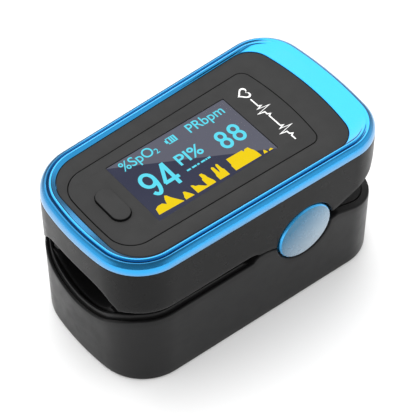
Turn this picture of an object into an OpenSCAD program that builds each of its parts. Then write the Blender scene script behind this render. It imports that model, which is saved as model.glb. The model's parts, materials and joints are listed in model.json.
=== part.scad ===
// Fingertip pulse oximeter: a sprung two-jaw clip with a display on the upper jaw.
// Frame: +X is the hinge end, -X is the finger opening, +Z is up, Z = 0 is the table.
// The origin is the centre of the foot print, on the underside.

/* [Case plan] */
// Overall length of the case
case_len = 60; // [59:0.5:61]
// Half width of the side wall line at the finger end
half_w_front = 15.62; // [15.4:0.1:16]
// Half width of the side wall line at the hinge end
half_w_rear = 17.34; // [17.2:0.1:17.6]
// Corner radius at the finger end
corner_front = 9.9; // [9.7:0.1:10.3]
// Corner radius at the hinge end
corner_rear = 8.4; // [8:0.2:9]
// Bulge of the end wall at the finger end
bulge_front = 2.3; // [2.1:0.1:2.5]
// Bulge of the end wall at the hinge end
bulge_rear = 1.84; // [1.7:0.1:2]
// Thickness of the case walls
wall = 1.5; // [1.4:0.1:1.6]

/* [Case heights] */
// Top edge of the lower shell along the jaw gap
lower_edge_z = 17.65; // [17.5:0.05:17.8]
// Bottom edge of the upper shell along the jaw gap
upper_edge_z = 19.5; // [19.4:0.05:19.7]
// Underside of the coloured bezel
bezel_z = 30.4; // [30.3:0.1:30.6]
// Highest line of the bezel
crest_z = 32.85; // [32.7:0.05:33]
// Top face of the black panel
panel_z = 32.2; // [32.1:0.05:32.3]
// Radius of the rounded bottom edge
foot_round = 0.6; // [0.4:0.1:1]

/* [Hinge] */
// Hinge axis, distance behind the middle
pivot_x = 9.2; // [9.1:0.05:9.3]
// Hinge axis height
pivot_z = 18.25; // [18.15:0.05:18.35]
// Radius of the round side caps
cap_r = 6; // [5.8:0.1:6.1]
// Radius of the steel hinge rod
rod_r = 1; // [0.9:0.05:1.1]
// Running clearance between the rod and the upper ears
rod_play = 0.05; // [0.03:0.01:0.08]

/* [Finger channel] */
// Radius of the pad surfaces that hold the finger
pad_r = 9.5; // [9.3:0.1:9.6]
// Thickness of the silicone pads
pad_t = 1; // [0.8:0.1:1]
// Height of the lowest line of the lower pad
trough_z = 13.3; // [13.3:0.05:13.5]
// Height of the highest line of the upper pad
dome_z = 22.5; // [22.3:0.05:22.6]
// Inner end of the channel, where the fingertip stops
stop_x = 4; // [3.8:0.1:4.2]

/* [Batteries] */
// Radius of an AAA cell
cell_r = 5.15; // [5:0.05:5.2]
// Length of an AAA cell without its nub
cell_len = 43.5; // [43:0.1:43.6]
// Height of the cell axes
cell_z = 7; // [6.95:0.05:7.05]
// Distance of a cell axis from the middle
cell_y = 5.25; // [5.2:0.05:5.3]

/* [Display and button] */
// Front edge of the display window
window_x0 = -16.5; // [-16.6:0.1:-16.4]
// Rear edge of the display window
window_x1 = 10.05; // [10:0.05:10.1]
// Half width of the display window
window_hw = 7.67; // [7.6:0.05:7.7]
// Centre of the power button
button_x = -20.6; // [-20.7:0.1:-20.5]
// Button size across the panel's length
button_w = 3.55; // [3.4:0.05:3.6]
// Button size across the panel's width
button_l = 7.8; // [7.6:0.1:8]

/* [Hidden] */
$fn = 64;
big = 80;
slip = 0.1;
corner_ease = 0.02;
// Plan outlines: [x0, x1, half width at x0, at x1, corner at x0, at x1, bulge at x0, at x1]
CASE = [-case_len / 2, case_len / 2, half_w_front, half_w_rear, corner_front, corner_rear,
    bulge_front, bulge_rear];
CREST = [CASE[0] + 1.02, CASE[1] - 1.33, half_w_front - 1.04, half_w_rear - 1.04, corner_front - 1,
    corner_rear - 1, bulge_front, bulge_rear];
PANEL = [CASE[0] + 3.35, CASE[1] - 5.9, 13.03, 14.58, 7, 4.8, 0.55, 1.97];
OVERLAY = [CASE[0] + 4.43, CASE[1] - 11.78, 9.84, 10.97, 5, 2.1, 0.5, 1.08];

arch_top_z = 24.15;
arch_r = 6.5;
arch_y = 4.2;
scoop_low_z = 13.1;
scoop_r = 16.5;

skin_gap = 0.1;
frame_t = 0.8;
bed_r = pad_r + pad_t;
trough_axis_z = trough_z + pad_r;
dome_axis_z = dome_z - pad_r;
mouth_x = CASE[0] + 2.1;
recess_r = cap_r + 0.3;
ear_r = 3.2;
ear_gap_r = 3.5;
upper_ear_y = [10.5, 12.7];
lower_ear_y = [12.9, 14.6];
pin_fit = 0.02;
rod_half_len = 15.45;
cap_y = [15.3, 16.95];
cap_bevel = 0.4;
spigot_r = 2.6;
spigot_y0 = 14.65;
spring_y = [6.9, 9.9];
spring_coil_r = 2.25;
spring_wire_r = 0.35;
spring_turns = 3.5;
lower_leg_end = [22, 16.3];
upper_leg_end = [22.6, 21.6];
cable_hw = 1.85;
cable_x = [6.9, 7.1];
cable_lower_z = [11.2, 11.4];
cable_upper_z = [24.9, 25.1];

floor_t = 1.6;
door_hw = 10.6;
tongue_hw = 11.3;
door_x0 = -24;
door_z = [0.15, 0.95, 1.75];
door_lip_z = 8;
bay_hw = 10.75;
bay_wall = 1.25;
front_plate_x = -23;
rear_plate_x = 24.2;
plate_t = 0.3;
nub_len = 1;

board_z = 26.6;
board_t = 1;
board_top_z = board_z + board_t;
board_x = [-24, 22];
board_hw = 10.2;
holder_z = [27.6, 28.9];
module_z = [28.9, 30.3];
panel_under_z = 31;
overlay_under_z = 31.5;
lens_gap = 0.06;

emitter_x = -4.5;
pane_reach = [2.4, 2];
lower_pad_edge_z = 17.5;
upper_pad_edge_z = 18.95;
lower_frame_z = [12.4, 18.4];
upper_frame_z = [18, 25.4];
emitter_board_x = 5.5;
emitter_board_hw = 4;
emitter_board_z = [24.85, 25.45];
case_screw_at = [[-14, 13.3], [20, 13.85]];
jaw_screw_at = [[-12, 12.4, 19.7], [20, 13.2, 21.7]];
board_screw_at = [[-21.5, 8.2], [19.5, 8.2]];
lug_r = 1.6;
lug_hw = 1;
lug_z = [23.7, 28.4];
small_screw_r = 0.6;
screw_head_r = 1.1;
screw_head_t = 0.7;
head_room_r = 1.25;
head_room_t = 0.75;
case_screw_z = [0.25, 9];

// ---- plan outline with tangent corners ----

function arc_r(w, b) = (w * w + b * b) / (2 * b);
function end_r(s, rear) = rear ? arc_r(s[3], s[7]) : arc_r(s[2], s[6]);
function end_hub(s, rear) = [rear ? s[1] - end_r(s, rear) : s[0] + end_r(s, rear), 0];
function unit(v) = v / norm(v);
function side_dir(s) = unit([s[1] - s[0], s[3] - s[2]]);
function corner_r(s, rear) = rear ? s[5] : s[4];

// Centre of the corner arc: tangent inside both the side line and the end arc
function corner_hub(s, rear) =
    let (r = corner_r(s, rear), d = side_dir(s), hub = end_hub(s, rear),
        start = [s[0], s[2]] + r * [d[1], -d[0]] - hub,
        b = d * start,
        c = start * start - pow(end_r(s, rear) - r, 2),
        t = -b + (rear ? 1 : -1) * sqrt(b * b - c))
    hub + start + t * d;

// What a corner loses outside its arc, which crosses both neighbours at a slight angle
module corner_waste(s, inset, rear) {
    hub = corner_hub(s, rear);
    d = side_dir(s);
    out_side = [-d[1], d[0]];
    out_end = unit(hub - end_hub(s, rear));
    reach = 3 * corner_r(s, rear);
    difference() {
        translate(hub) polygon([[0, 0], reach * out_side, reach * (out_side + out_end), reach * out_end]);
        translate(hub) circle(corner_r(s, rear) + corner_ease - inset);
    }
}

module plan(s, inset = 0) {
    d = side_dir(s);
    slope = d[1] / d[0];
    w0 = s[2] - slope - inset / d[0];
    w1 = s[3] + slope - inset / d[0];
    difference() {
        intersection() {
            polygon([[s[0] - 1, -w0], [s[1] + 1, -w1], [s[1] + 1, w1], [s[0] - 1, w0]]);
            end_arcs(s, inset);
        }
        for (rear = [false, true]) {
            corner_waste(s, inset, rear);
            mirror([0, 1]) corner_waste(s, inset, rear);
        }
    }
}

module end_arcs(s, inset) {
    intersection() {
        translate(end_hub(s, false)) circle(end_r(s, false) - inset, $fn = 240);
        translate(end_hub(s, true)) circle(end_r(s, true) - inset, $fn = 240);
    }
}

module slab(s, z0, z1, inset = 0) {
    translate([0, 0, z0]) linear_extrude(z1 - z0) plan(s, inset);
}

module ring(s, z0, z1, outer, inner) {
    difference() {
        slab(s, z0, z1, outer);
        slab(s, z0 - 1, z1 + 1, inner);
    }
}

// ---- general helpers ----

module box(x, y, z) {
    translate([x[0], y[0], z[0]]) cube([x[1] - x[0], y[1] - y[0], z[1] - z[0]]);
}

module both_sides() {
    children();
    mirror([0, 1, 0]) children();
}

// A side view outline in X and Z, carried right through the width
module side_cut() {
    rotate([90, 0, 0]) linear_extrude(big, center = true) children();
}

// A front view outline in Y and Z, carried along X
module front_cut(x0, x1) {
    translate([x0, 0, 0]) rotate([90, 0, 90]) linear_extrude(x1 - x0) children();
}

module along_x(r, x0, x1, y = 0, z = 0) {
    translate([x0, y, z]) rotate([0, 90, 0]) cylinder(r = r, h = x1 - x0);
}

// A disc or bore on the hinge axis
module on_pivot(r, y0, y1) {
    translate([pivot_x, y1, pivot_z]) rotate([90, 0, 0]) cylinder(r = r, h = y1 - y0);
}

module post(at, r, z0, z1) {
    translate([at[0], at[1], z0]) cylinder(r = r, h = z1 - z0);
}

module posts(places, r, z0, z1) {
    for (at = places) both_sides() post(at, r, z0, z1);
}

module small_screw(at, head_z, tip_z) {
    under_head_z = head_z + (tip_z > head_z ? 1 : -1) * screw_head_t;
    difference() {
        union() {
            post(at, screw_head_r, min(head_z, under_head_z), max(head_z, under_head_z));
            post(at, small_screw_r, min(head_z, tip_z), max(head_z, tip_z));
        }
        translate([at[0], at[1], head_z]) cube([0.25, 1.4, 0.6], center = true);
        translate([at[0], at[1], head_z]) cube([1.4, 0.25, 0.6], center = true);
    }
}

// ---- jaw edges in side view ----

// Everything above the lower edge of the upper shell
module above_gap() {
    side_cut() polygon([[-40, 40], [-40, upper_edge_z], [-1.9, upper_edge_z],
        [-1.25, 19.05], [0.2, 18.95], [1.4, 18.6], [3.2, 17.95], [15, 19], [16.6, 19.25],
        [40, 29.1], [40, 40]]);
}

// Everything below the upper edge of the lower shell
module below_gap() {
    side_cut() polygon([[-40, -5], [-40, lower_edge_z], [-2.7, lower_edge_z], [-1.5, 18.75],
        [0.1, 18.75], [1.3, 18.4], [3.1, 17.75], [15, 16.8], [16, 17.15], [17, 17.3],
        [40, 10.5], [40, -5]]);
}

// The two frames keep this side view, so that the jaws clear each other when they open
module below_frame_gap() {
    side_cut() polygon([[-40, 0], [-40, 17.3], [14.5, 17.3], [17.4, 17.3], [40, 10.55], [40, 0]]);
}

module above_frame_gap() {
    side_cut() polygon([[-40, 40], [-40, 18.75], [5.4, 18.75], [5.4, 19.3], [16.35, 19.4],
        [40, 29.35], [40, 40]]);
}

// Arch in the front wall of the upper shell
module arch_view() {
    for (y = [-arch_y, arch_y]) translate([y, arch_top_z - arch_r]) circle(arch_r);
    translate([-arch_y, 12]) square([2 * arch_y, arch_top_z - 12]);
}

// Scoop in the front wall of the lower shell
module scoop_view() {
    translate([0, scoop_low_z + scoop_r])
        polygon([for (a = [-60:10:60]) scoop_r * [sin(a), -cos(a)]]);
}

// Round channel in front view, with flat sides
module channel_view(r) {
    step = 9;
    polygon([for (a = [step / 2:step:360]) r * [cos(a), sin(a)]]);
}

// ---- lower jaw ----

module lower_body() {
    hull() {
        for (a = [0:22.5:67.5])
            slab(CASE, foot_round * (1 - cos(a)), foot_round * (1 - cos(a)) + 0.01,
                foot_round * (1 - sin(a)), $fn = 48);
        slab(CASE, foot_round, upper_edge_z, 0, $fn = 48);
    }
}

// The space that the sliding door takes up, grown by a gap
module door_space(gap) {
    box([door_x0 - gap, big], [-door_hw - gap, door_hw + gap], [-1, door_z[1] + gap]);
    box([door_x0 - gap, big], [-tongue_hw - gap, tongue_hw + gap], [door_z[1] - gap, door_z[2] + gap]);
    box([CASE[1] - 1.8, big], [-door_hw - gap, door_hw + gap], [-1, door_lip_z + gap]);
}

module battery_bay() {
    both_sides() box([-24.2, 25.8], [bay_hw, bay_hw + bay_wall], [floor_t - 0.2, 10]);
    for (x = [[-24.2, front_plate_x - 0.1], [rear_plate_x + plate_t + 0.1, 25.8]])
        box(x, [-bay_hw - 0.5, bay_hw + 0.5], [floor_t - 0.2, 10]);
}

module lower_shell() {
    color([0.2, 0.2, 0.21]) difference() {
        intersection() {
            lower_body();
            below_gap();
        }
        difference() {
            slab(CASE, floor_t, big, wall);
            battery_bay();
        }
        on_pivot(recess_r, -big, big);
        front_cut(CASE[0] - 5, mouth_x + 2) scoop_view();
        door_space(slip);
        posts(case_screw_at, small_screw_r + slip, -1, floor_t + 1);
        posts(case_screw_at, head_room_r, -1, case_screw_z[0] + head_room_t);
    }
}

module battery_door() {
    color([0.19, 0.19, 0.2]) {
        difference() {
            intersection() {
                lower_body();
                union() {
                    box([door_x0, big], [-door_hw, door_hw], [door_z[0], door_z[1]]);
                    box([door_x0, big], [-tongue_hw, tongue_hw], [door_z[1], door_z[2]]);
                    box([CASE[1] - 1.7, big], [-door_hw, door_hw], [door_z[0], door_lip_z]);
                }
            }
            for (x = [20:1.6:26.4]) box([x, x + 0.8], [-5, 5], [-1, 0.5]);
        }
    }
}

module lower_frame() {
    color([0.13, 0.13, 0.14]) difference() {
        union() {
            difference() {
                intersection() {
                    slab(CASE, lower_frame_z[0], lower_frame_z[1], wall + skin_gap);
                    below_frame_gap();
                }
                both_sides() box([-21, 2], [12.3, 13.2], [12, 15.9]);
                box([14, 26], [-11.5, 11.5], [12, 13.4]);
            }
            intersection() {
                along_x(bed_r + frame_t, mouth_x + 0.1, stop_x + 1.2, 0, trough_axis_z);
                box([-big, big], [-8, 8], [10, 13]);
            }
            both_sides() on_pivot(ear_r, lower_ear_y[0], lower_ear_y[1]);
            posts(case_screw_at, 1.15, floor_t + 0.1, 13);
        }
        front_cut(CASE[0] - 5, stop_x) translate([0, trough_axis_z]) channel_view(bed_r + 0.05);
        front_cut(CASE[0] - 5, mouth_x + 0.4) scoop_view();
        hinge_bay();
        both_sides() {
            on_pivot(rod_r + pin_fit, lower_ear_y[0] - 1, lower_ear_y[1] + 1);
            on_pivot(spigot_r + slip, lower_ear_y[1], big);
            on_pivot(recess_r, cap_y[0] - slip, big);
        }
        posts(case_screw_at, small_screw_r + pin_fit, 1, 10);
        box([emitter_x - 1.6, emitter_x + 1.6], [-1.6, 1.6], [11, 13]);
    }
}

// Room in the lower frame for the upper ears, the springs and the cable
module hinge_bay() {
    box([pivot_x - 3.6, pivot_x + 3.6], [-lower_ear_y[0] + 0.05, lower_ear_y[0] - 0.05], [14.65, 30]);
    box([pivot_x - 3.2, pivot_x + 3.2], [-6.6, 6.6], [10, 20]);
    both_sides() box([pivot_x, 21.6], [spring_y[0] - 0.4, spring_y[0] + 1], [15.5, 20]);
}

module lower_pad() {
    color([0.1, 0.1, 0.11]) difference() {
        along_x(bed_r, mouth_x, stop_x, 0, trough_axis_z);
        along_x(pad_r, mouth_x - 1, stop_x + 1, 0, trough_axis_z);
        box([-big, big], [-big, big], [lower_pad_edge_z, big]);
        pane([10, 15]);
    }
}

// The window over a sensor, and the hole for it in the pad
module pane(z) {
    box([emitter_x - pane_reach[0], emitter_x + pane_reach[0]], [-pane_reach[1], pane_reach[1]], z);
}

module receiver_window() {
    color([0.55, 0.6, 0.62]) pane([12.55, 13.4]);
}

module photodiode() {
    color([0.12, 0.1, 0.16]) box([emitter_x - 1.5, emitter_x + 1.5], [-1.5, 1.5], [11.55, 12.45]);
}

module receiver_board() {
    color([0.8, 0.5, 0.15]) box([emitter_x - 3, emitter_x + 3.5], [-cable_hw, cable_hw], [11.2, 11.45]);
}

// ---- batteries ----

// One cell, with its nub towards +X or -X
module cell(y, x0, nub_rear) {
    difference() {
        union() {
            along_x(cell_r, x0, x0 + cell_len, y, cell_z);
            along_x(1.9, nub_rear ? x0 + cell_len : x0 - nub_len, nub_rear ? x0 + cell_len + nub_len : x0,
                y, cell_z);
        }
        for (x = [x0 + 0.7, x0 + cell_len - 1.1]) difference() {
            along_x(cell_r + 1, x, x + 0.4, y, cell_z);
            along_x(cell_r - 0.2, x - 1, x + 1, y, cell_z);
        }
    }
}

module battery_cell_left() {
    color([0.55, 0.57, 0.6]) cell(-cell_y, rear_plate_x - nub_len - cell_len, true);
}

module battery_cell_right() {
    color([0.55, 0.57, 0.6]) cell(cell_y, front_plate_x + plate_t + nub_len, false);
}

// Points of one turn of wire section, carried along a path that stays in planes of the helix axis
function wire_ring(centre, across, up, r, sides) =
    [for (i = [0:sides - 1]) centre + r * (cos(360 * i / sides) * across + sin(360 * i / sides) * up)];

module swept_wire(rings) {
    sides = len(rings[0]);
    last = len(rings) - 1;
    polyhedron([for (r = rings) each r],
        concat([[for (i = [0:sides - 1]) i]],
            [for (k = [0:last - 1], i = [0:sides - 1]) let (j = (i + 1) % sides, a = k * sides, b = a + sides)
                [a + j, a + i, b + i, b + j]],
            [[for (i = [sides - 1:-1:0]) last * sides + i]]));
}

// Conical contact spring: from radius 3.4 at the plate to 1.7 at the cell
module contact_spring(y, x0, x1) {
    steps = 30;
    r = 0.25;
    rings = [for (k = [0:steps]) let (f = k / steps, a = 900 * f, rad = 3.4 - 1.7 * f)
        wire_ring([x0 + (x1 - x0) * f, y + rad * cos(a), cell_z + rad * sin(a)],
            [0, cos(a), sin(a)], [-1, 0, 0], r, 6)];
    swept_wire(rings);
}

module contact_plate(x0, y0, y1) {
    box([x0, x0 + plate_t], [y0, y1], [3, 11.5]);
}

module bridge_contact() {
    color([0.78, 0.77, 0.72]) {
        contact_plate(front_plate_x, -9.6, 9.6);
        contact_spring(-cell_y, front_plate_x + plate_t + 0.2, rear_plate_x - nub_len - cell_len - 0.3);
    }
}

module negative_contact() {
    color([0.78, 0.77, 0.72]) {
        contact_plate(rear_plate_x, 1, 9.6);
        contact_spring(cell_y, rear_plate_x - 0.2, front_plate_x + plate_t + nub_len + cell_len + 0.3);
    }
}

module positive_contact() {
    color([0.78, 0.77, 0.72]) contact_plate(rear_plate_x, -9.6, -1);
}

module case_screws() {
    color([0.6, 0.6, 0.62]) for (at = case_screw_at) both_sides()
        small_screw(at, case_screw_z[0], case_screw_z[1]);
}

// ---- hinge ----

module hinge_rod() {
    color([0.75, 0.76, 0.78]) on_pivot(rod_r, -rod_half_len, rod_half_len);
}

// Coil about the hinge rod, with both legs towards the hinge end
module torsion_spring() {
    steps_per_turn = 12;
    steps = spring_turns * steps_per_turn;
    pitch = (spring_y[1] - spring_y[0]) / spring_turns;
    lower_end = [lower_leg_end[0], spring_y[0], lower_leg_end[1]];
    upper_end = [upper_leg_end[0], spring_y[1], upper_leg_end[1]];
    first = wire_ring(lower_end, [0, 1, 0], [0, 0, 1], spring_wire_r, 6);
    last = wire_ring(upper_end, [0, 1, 0], [0, 0, -1], spring_wire_r, 6);
    coil = [for (k = [0:steps]) let (a = -90 - 360 * k / steps_per_turn)
        wire_ring([pivot_x + spring_coil_r * cos(a), spring_y[0] + pitch * k / steps_per_turn,
            pivot_z + spring_coil_r * sin(a)], [0, 1, 0], [-cos(a), 0, -sin(a)], spring_wire_r, 6)];
    swept_wire(concat([first], coil, [last]));
}

module torsion_spring_left() {
    color([0.7, 0.71, 0.73]) mirror([0, 1, 0]) torsion_spring();
}

module torsion_spring_right() {
    color([0.7, 0.71, 0.73]) torsion_spring();
}

module pivot_cap() {
    difference() {
        union() {
            on_pivot(cap_r, cap_y[0], cap_y[1] - cap_bevel);
            translate([pivot_x, cap_y[1] - cap_bevel, pivot_z]) rotate([-90, 0, 0])
                cylinder(r1 = cap_r, r2 = cap_r - cap_bevel, h = cap_bevel);
            on_pivot(spigot_r, spigot_y0, cap_y[0]);
        }
        on_pivot(rod_r + pin_fit, 0, rod_half_len + 0.05);
    }
}

module pivot_cap_left() {
    color([0.2, 0.5, 0.8]) mirror([0, 1, 0]) pivot_cap();
}

module pivot_cap_right() {
    color([0.2, 0.5, 0.8]) pivot_cap();
}

module flex_cable() {
    color([0.8, 0.5, 0.15]) {
        box([emitter_x + 3.5, cable_x[1]], [-cable_hw, cable_hw], cable_lower_z);
        box(cable_x, [-cable_hw, cable_hw], [cable_lower_z[0], cable_upper_z[1]]);
        box([cable_x[0], 10], [-cable_hw, cable_hw], cable_upper_z);
    }
}

// ---- upper jaw ----

// Screw lugs on the inside of the upper shell's walls, grown by a gap
module lugs(gap) {
    for (at = jaw_screw_at) both_sides() {
        post(at, lug_r + gap, lug_z[0] - gap, big);
        box([at[0] - lug_hw - gap, at[0] + lug_hw + gap], [at[1], big], [lug_z[0] - gap, big]);
    }
}

module upper_shell() {
    color([0.2, 0.2, 0.21]) difference() {
        union() {
            difference() {
                intersection() {
                    slab(CASE, 17, bezel_z);
                    above_gap();
                }
                slab(CASE, 0, big, wall);
            }
            intersection() {
                lugs(0);
                slab(CASE, 0, lug_z[1], wall / 3);
            }
        }
        on_pivot(recess_r, -big, big);
        front_cut(CASE[0] - 5, mouth_x + 2) arch_view();
        posts(jaw_screw_at, small_screw_r + pin_fit, 20, 27.5);
    }
}

module bezel_ring() {
    color([0.2, 0.5, 0.8]) {
        difference() {
            hull() {
                slab(CASE, bezel_z, bezel_z + 0.2, 0.02, $fn = 48);
                slab(CREST, crest_z - 0.01, crest_z, 0, $fn = 48);
            }
            hull() {
                slab(PANEL, panel_z, panel_z + 0.01, 0, $fn = 48);
                slab(CREST, crest_z, crest_z + 0.01, 0.7, $fn = 48);
            }
            slab(PANEL, panel_under_z, big, -0.05);
            slab(PANEL, 0, big, 1.2);
        }
        ring(CASE, 29.1, bezel_z + 0.01, wall + 0.05, wall + 0.9);
    }
}

module top_panel() {
    color([0.28, 0.28, 0.29]) difference() {
        slab(PANEL, panel_under_z, panel_z, 0.05);
        slab(OVERLAY, overlay_under_z, big, 0);
        box([window_x0 + 1, window_x1 - 1], [-window_hw + 0.8, window_hw - 0.8], [0, big]);
        button_bar(0.2, 0, big);
    }
}

module panel_overlay() {
    color([0.28, 0.28, 0.29]) difference() {
        slab(OVERLAY, overlay_under_z, panel_z, 0.15);
        box([window_x0, window_x1], [-window_hw, window_hw], [0, big]);
        button_bar(0.2, 0, big);
    }
}

// Stadium across the width, grown by a gap
module button_bar(gap, z0, z1) {
    half = button_w / 2;
    end_y = button_l / 2 - half;
    for (y = [-end_y, end_y]) post([button_x, y], half + gap, z0, z1);
    box([button_x - half - gap, button_x + half + gap], [-end_y, end_y], [z0, z1]);
}

module power_button() {
    color([0.24, 0.24, 0.25]) {
        button_bar(0, 30.85, panel_z + 0.45);
        button_bar(0.7, 30.35, 30.86);
        post([button_x, 0], 1.2, 30.02, 30.36);
    }
}

module display_lens() {
    color([0.25, 0.25, 0.32])
        box([window_x0 + lens_gap, window_x1 - lens_gap], [lens_gap - window_hw, window_hw - lens_gap],
            [overlay_under_z, panel_z - 0.05]);
}

module open_frame(x, hw, z, rim) {
    difference() {
        box(x, [-hw, hw], z);
        box([x[0] + rim, x[1] - rim], [-hw + rim, hw - rim], [z[0] - 1, z[1] + 1]);
    }
}

module display_gasket() {
    color([0.08, 0.08, 0.08]) open_frame([-17.3, 10.9], 8.5, [module_z[1], panel_under_z], 1.3);
}

module display_module() {
    color([0.1, 0.1, 0.14]) {
        box([-17.3, 10.9], [-8.5, 8.5], [module_z[0], module_z[1] - 0.6]);
        box([-17.3, 9], [-8.5, 8.5], [module_z[1] - 0.61, module_z[1]]);
    }
}

module display_holder() {
    color([0.9, 0.9, 0.88]) open_frame([-17.8, 11.4], 9, holder_z, 1.2);
}

module display_flex() {
    color([0.8, 0.5, 0.15]) {
        box([10.9, 13.2], [-5, 5], [29.2, 29.4]);
        box([13, 13.2], [-5, 5], [27.7, 29.4]);
        box([13, 15], [-5, 5], [27.6, 27.8]);
    }
}

module main_board() {
    color([0.05, 0.35, 0.2]) difference() {
        box(board_x, [-board_hw, board_hw], [board_z, board_top_z]);
        posts(board_screw_at, small_screw_r + slip, 20, 30);
        for (y = [-1, 1]) translate([board_x[0], y * board_hw, board_z - 1]) rotate([0, 0, 45])
            cube([3, 3, 6], center = true);
    }
}

module board_screws() {
    color([0.6, 0.6, 0.62]) for (at = board_screw_at) both_sides()
        small_screw(at, board_top_z + screw_head_t, board_z - 3);
}

// A flat package with legs along two sides
module chip(x, y, size, z0, z1, legs) {
    box([x - size[0] / 2, x + size[0] / 2], [y - size[1] / 2, y + size[1] / 2], [z0 + 0.12, z1]);
    pitch = size[0] / legs;
    reach = size[1] / 2 + 0.5;
    for (i = [0:legs - 1]) let (at = x - size[0] / 2 + (i + 0.5) * pitch)
        box([at - pitch / 5, at + pitch / 5], [y - reach, y + reach], [z0, z0 + 0.25]);
}

module processor_chip() {
    color([0.1, 0.1, 0.1]) chip(-9, 0, [7, 7], board_top_z, board_top_z + 1, 8);
}

module amplifier_chip() {
    color([0.1, 0.1, 0.1]) chip(2, 3, [5, 4], board_top_z, board_top_z + 1, 5);
}

module crystal() {
    color([0.8, 0.8, 0.8]) {
        box([-1.5, 2.5], [-5, -3], [board_top_z, board_top_z + 0.9]);
    }
}

module power_inductor() {
    color([0.2, 0.2, 0.2]) {
        post([17.5, -5], 2, board_top_z, board_top_z + 0.35);
        post([17.5, -5], 1.4, board_top_z + 0.34, board_top_z + 1.5);
        post([17.5, -5], 2, board_top_z + 1.49, board_top_z + 1.85);
    }
}

module capacitors() {
    color([0.75, 0.6, 0.4]) for (at = [[6.5, -4], [6.5, -2], [-4, 4.5], [-4, -4.5], [17, 2], [17, 4]])
        box([at[0] - 0.9, at[0] + 0.9], [at[1] - 0.5, at[1] + 0.5], [board_top_z, board_top_z + 0.8]);
}

module cable_socket() {
    color([0.9, 0.88, 0.8]) difference() {
        box([8, 12], [-3, 3], [24.5, board_z]);
        box([7, 10.2], [-1.95, 1.95], [24.8, 25.2]);
    }
}

module button_switch() {
    color([0.75, 0.75, 0.77]) difference() {
        box([button_x - 2.2, button_x + 2.2], [-2.2, 2.2], [board_top_z, 29.3]);
        post([button_x, 0], 1.05, 28.5, 30);
    }
}

module switch_plunger() {
    color([0.15, 0.15, 0.15]) post([button_x, 0], 1, 29, 30);
}

module upper_frame() {
    color([0.13, 0.13, 0.14]) difference() {
        union() {
            difference() {
                intersection() {
                    above_frame_gap();
                    slab(CASE, upper_frame_z[0], upper_frame_z[1], wall + skin_gap);
                }
                frame_room();
            }
            intersection() {
                above_frame_gap();
                posts(board_screw_at, 1.4, 19.5, board_z);
            }
            both_sides() {
                on_pivot(ear_r, upper_ear_y[0], upper_ear_y[1]);
                box([pivot_x - 3, pivot_x + 3], upper_ear_y, [pivot_z, 20.4]);
            }
        }
        front_cut(CASE[0] - 5, stop_x) translate([0, dome_axis_z]) channel_view(bed_r + 0.05);
        front_cut(CASE[0] - 5, mouth_x + 0.4) arch_view();
        both_sides() {
            on_pivot(ear_gap_r, lower_ear_y[0] - 0.1, 15.4);
            on_pivot(ear_gap_r, spring_y[0] - 0.6, upper_ear_y[0]);
            on_pivot(rod_r + rod_play, upper_ear_y[0] - 1, upper_ear_y[1] + 1);
            box([pivot_x, 22.9], [spring_y[1] - 0.5, spring_y[1] + 0.5], [15, 23]);
        }
        lugs(slip);
        box([6.2, 8], [-2.3, 2.3], [15, 26]);
        on_pivot(rod_r + 0.6, -upper_ear_y[0], upper_ear_y[0]);
        posts(jaw_screw_at, small_screw_r + slip, 15, 30);
        for (at = jaw_screw_at) posts([at], head_room_r, 15, at[2] + head_room_t);
        posts(board_screw_at, small_screw_r + pin_fit, 23, 30);
        box([emitter_x - 1.7, emitter_x + 1.7], [-1.7, 1.7], [20, 30]);
    }
}

// The room inside the upper frame, over its floor and over the cradle of the pad
module frame_room() {
    difference() {
        intersection() {
            translate([0, 0, 1.2]) above_frame_gap();
            slab(CASE, 18, 30, wall + 1.1);
        }
        front_cut(-big, stop_x + 1.2) translate([0, dome_axis_z]) channel_view(bed_r + frame_t + 0.2);
        posts(jaw_screw_at, 1.5, 18, 23.6);
        for (x = [emitter_x - emitter_board_x, emitter_x + emitter_board_x - 1])
            box([x, x + 1], [-emitter_board_hw, emitter_board_hw], [22, emitter_board_z[0] - 0.05]);
    }
}

module upper_pad() {
    color([0.1, 0.1, 0.11]) difference() {
        along_x(bed_r, mouth_x, stop_x, 0, dome_axis_z);
        along_x(pad_r, mouth_x - 1, stop_x + 1, 0, dome_axis_z);
        box([-big, big], [-big, big], [0, upper_pad_edge_z]);
        pane([20, 25]);
    }
}

module emitter_window() {
    color([0.6, 0.55, 0.55]) pane([22.4, 23.25]);
}

module emitter_led() {
    color([0.85, 0.8, 0.75]) box([emitter_x - 1.6, emitter_x + 1.6], [-1.6, 1.6], [23.3, 24.85]);
}

module emitter_board() {
    color([0.05, 0.35, 0.2])
        box([emitter_x - emitter_board_x, emitter_x + emitter_board_x], [-emitter_board_hw, emitter_board_hw],
            emitter_board_z);
}

module jaw_screws() {
    color([0.6, 0.6, 0.62]) for (at = jaw_screw_at) both_sides() small_screw(at, at[2], 27);
}

lower_shell();
lower_frame();
lower_pad();
receiver_window();
photodiode();
receiver_board();
battery_cell_left();
battery_cell_right();
bridge_contact();
negative_contact();
positive_contact();
battery_door();
case_screws();
hinge_rod();
torsion_spring_left();
torsion_spring_right();
pivot_cap_left();
pivot_cap_right();
flex_cable();
upper_shell();
bezel_ring();
top_panel();
panel_overlay();
display_lens();
display_gasket();
display_module();
display_holder();
display_flex();
main_board();
board_screws();
processor_chip();
amplifier_chip();
crystal();
power_inductor();
capacitors();
cable_socket();
button_switch();
switch_plunger();
power_button();
upper_frame();
upper_pad();
emitter_window();
emitter_led();
emitter_board();
jaw_screws();
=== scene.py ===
"""Looks of the fingertip pulse oximeter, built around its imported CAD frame.

Lengths in the helpers are millimetres in the row frame: -X is the finger opening, +X the hinge end, +Z up.
"""

import json
import math

import bmesh
import bpy
import numpy as np
from mathutils import Matrix, Vector


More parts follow.
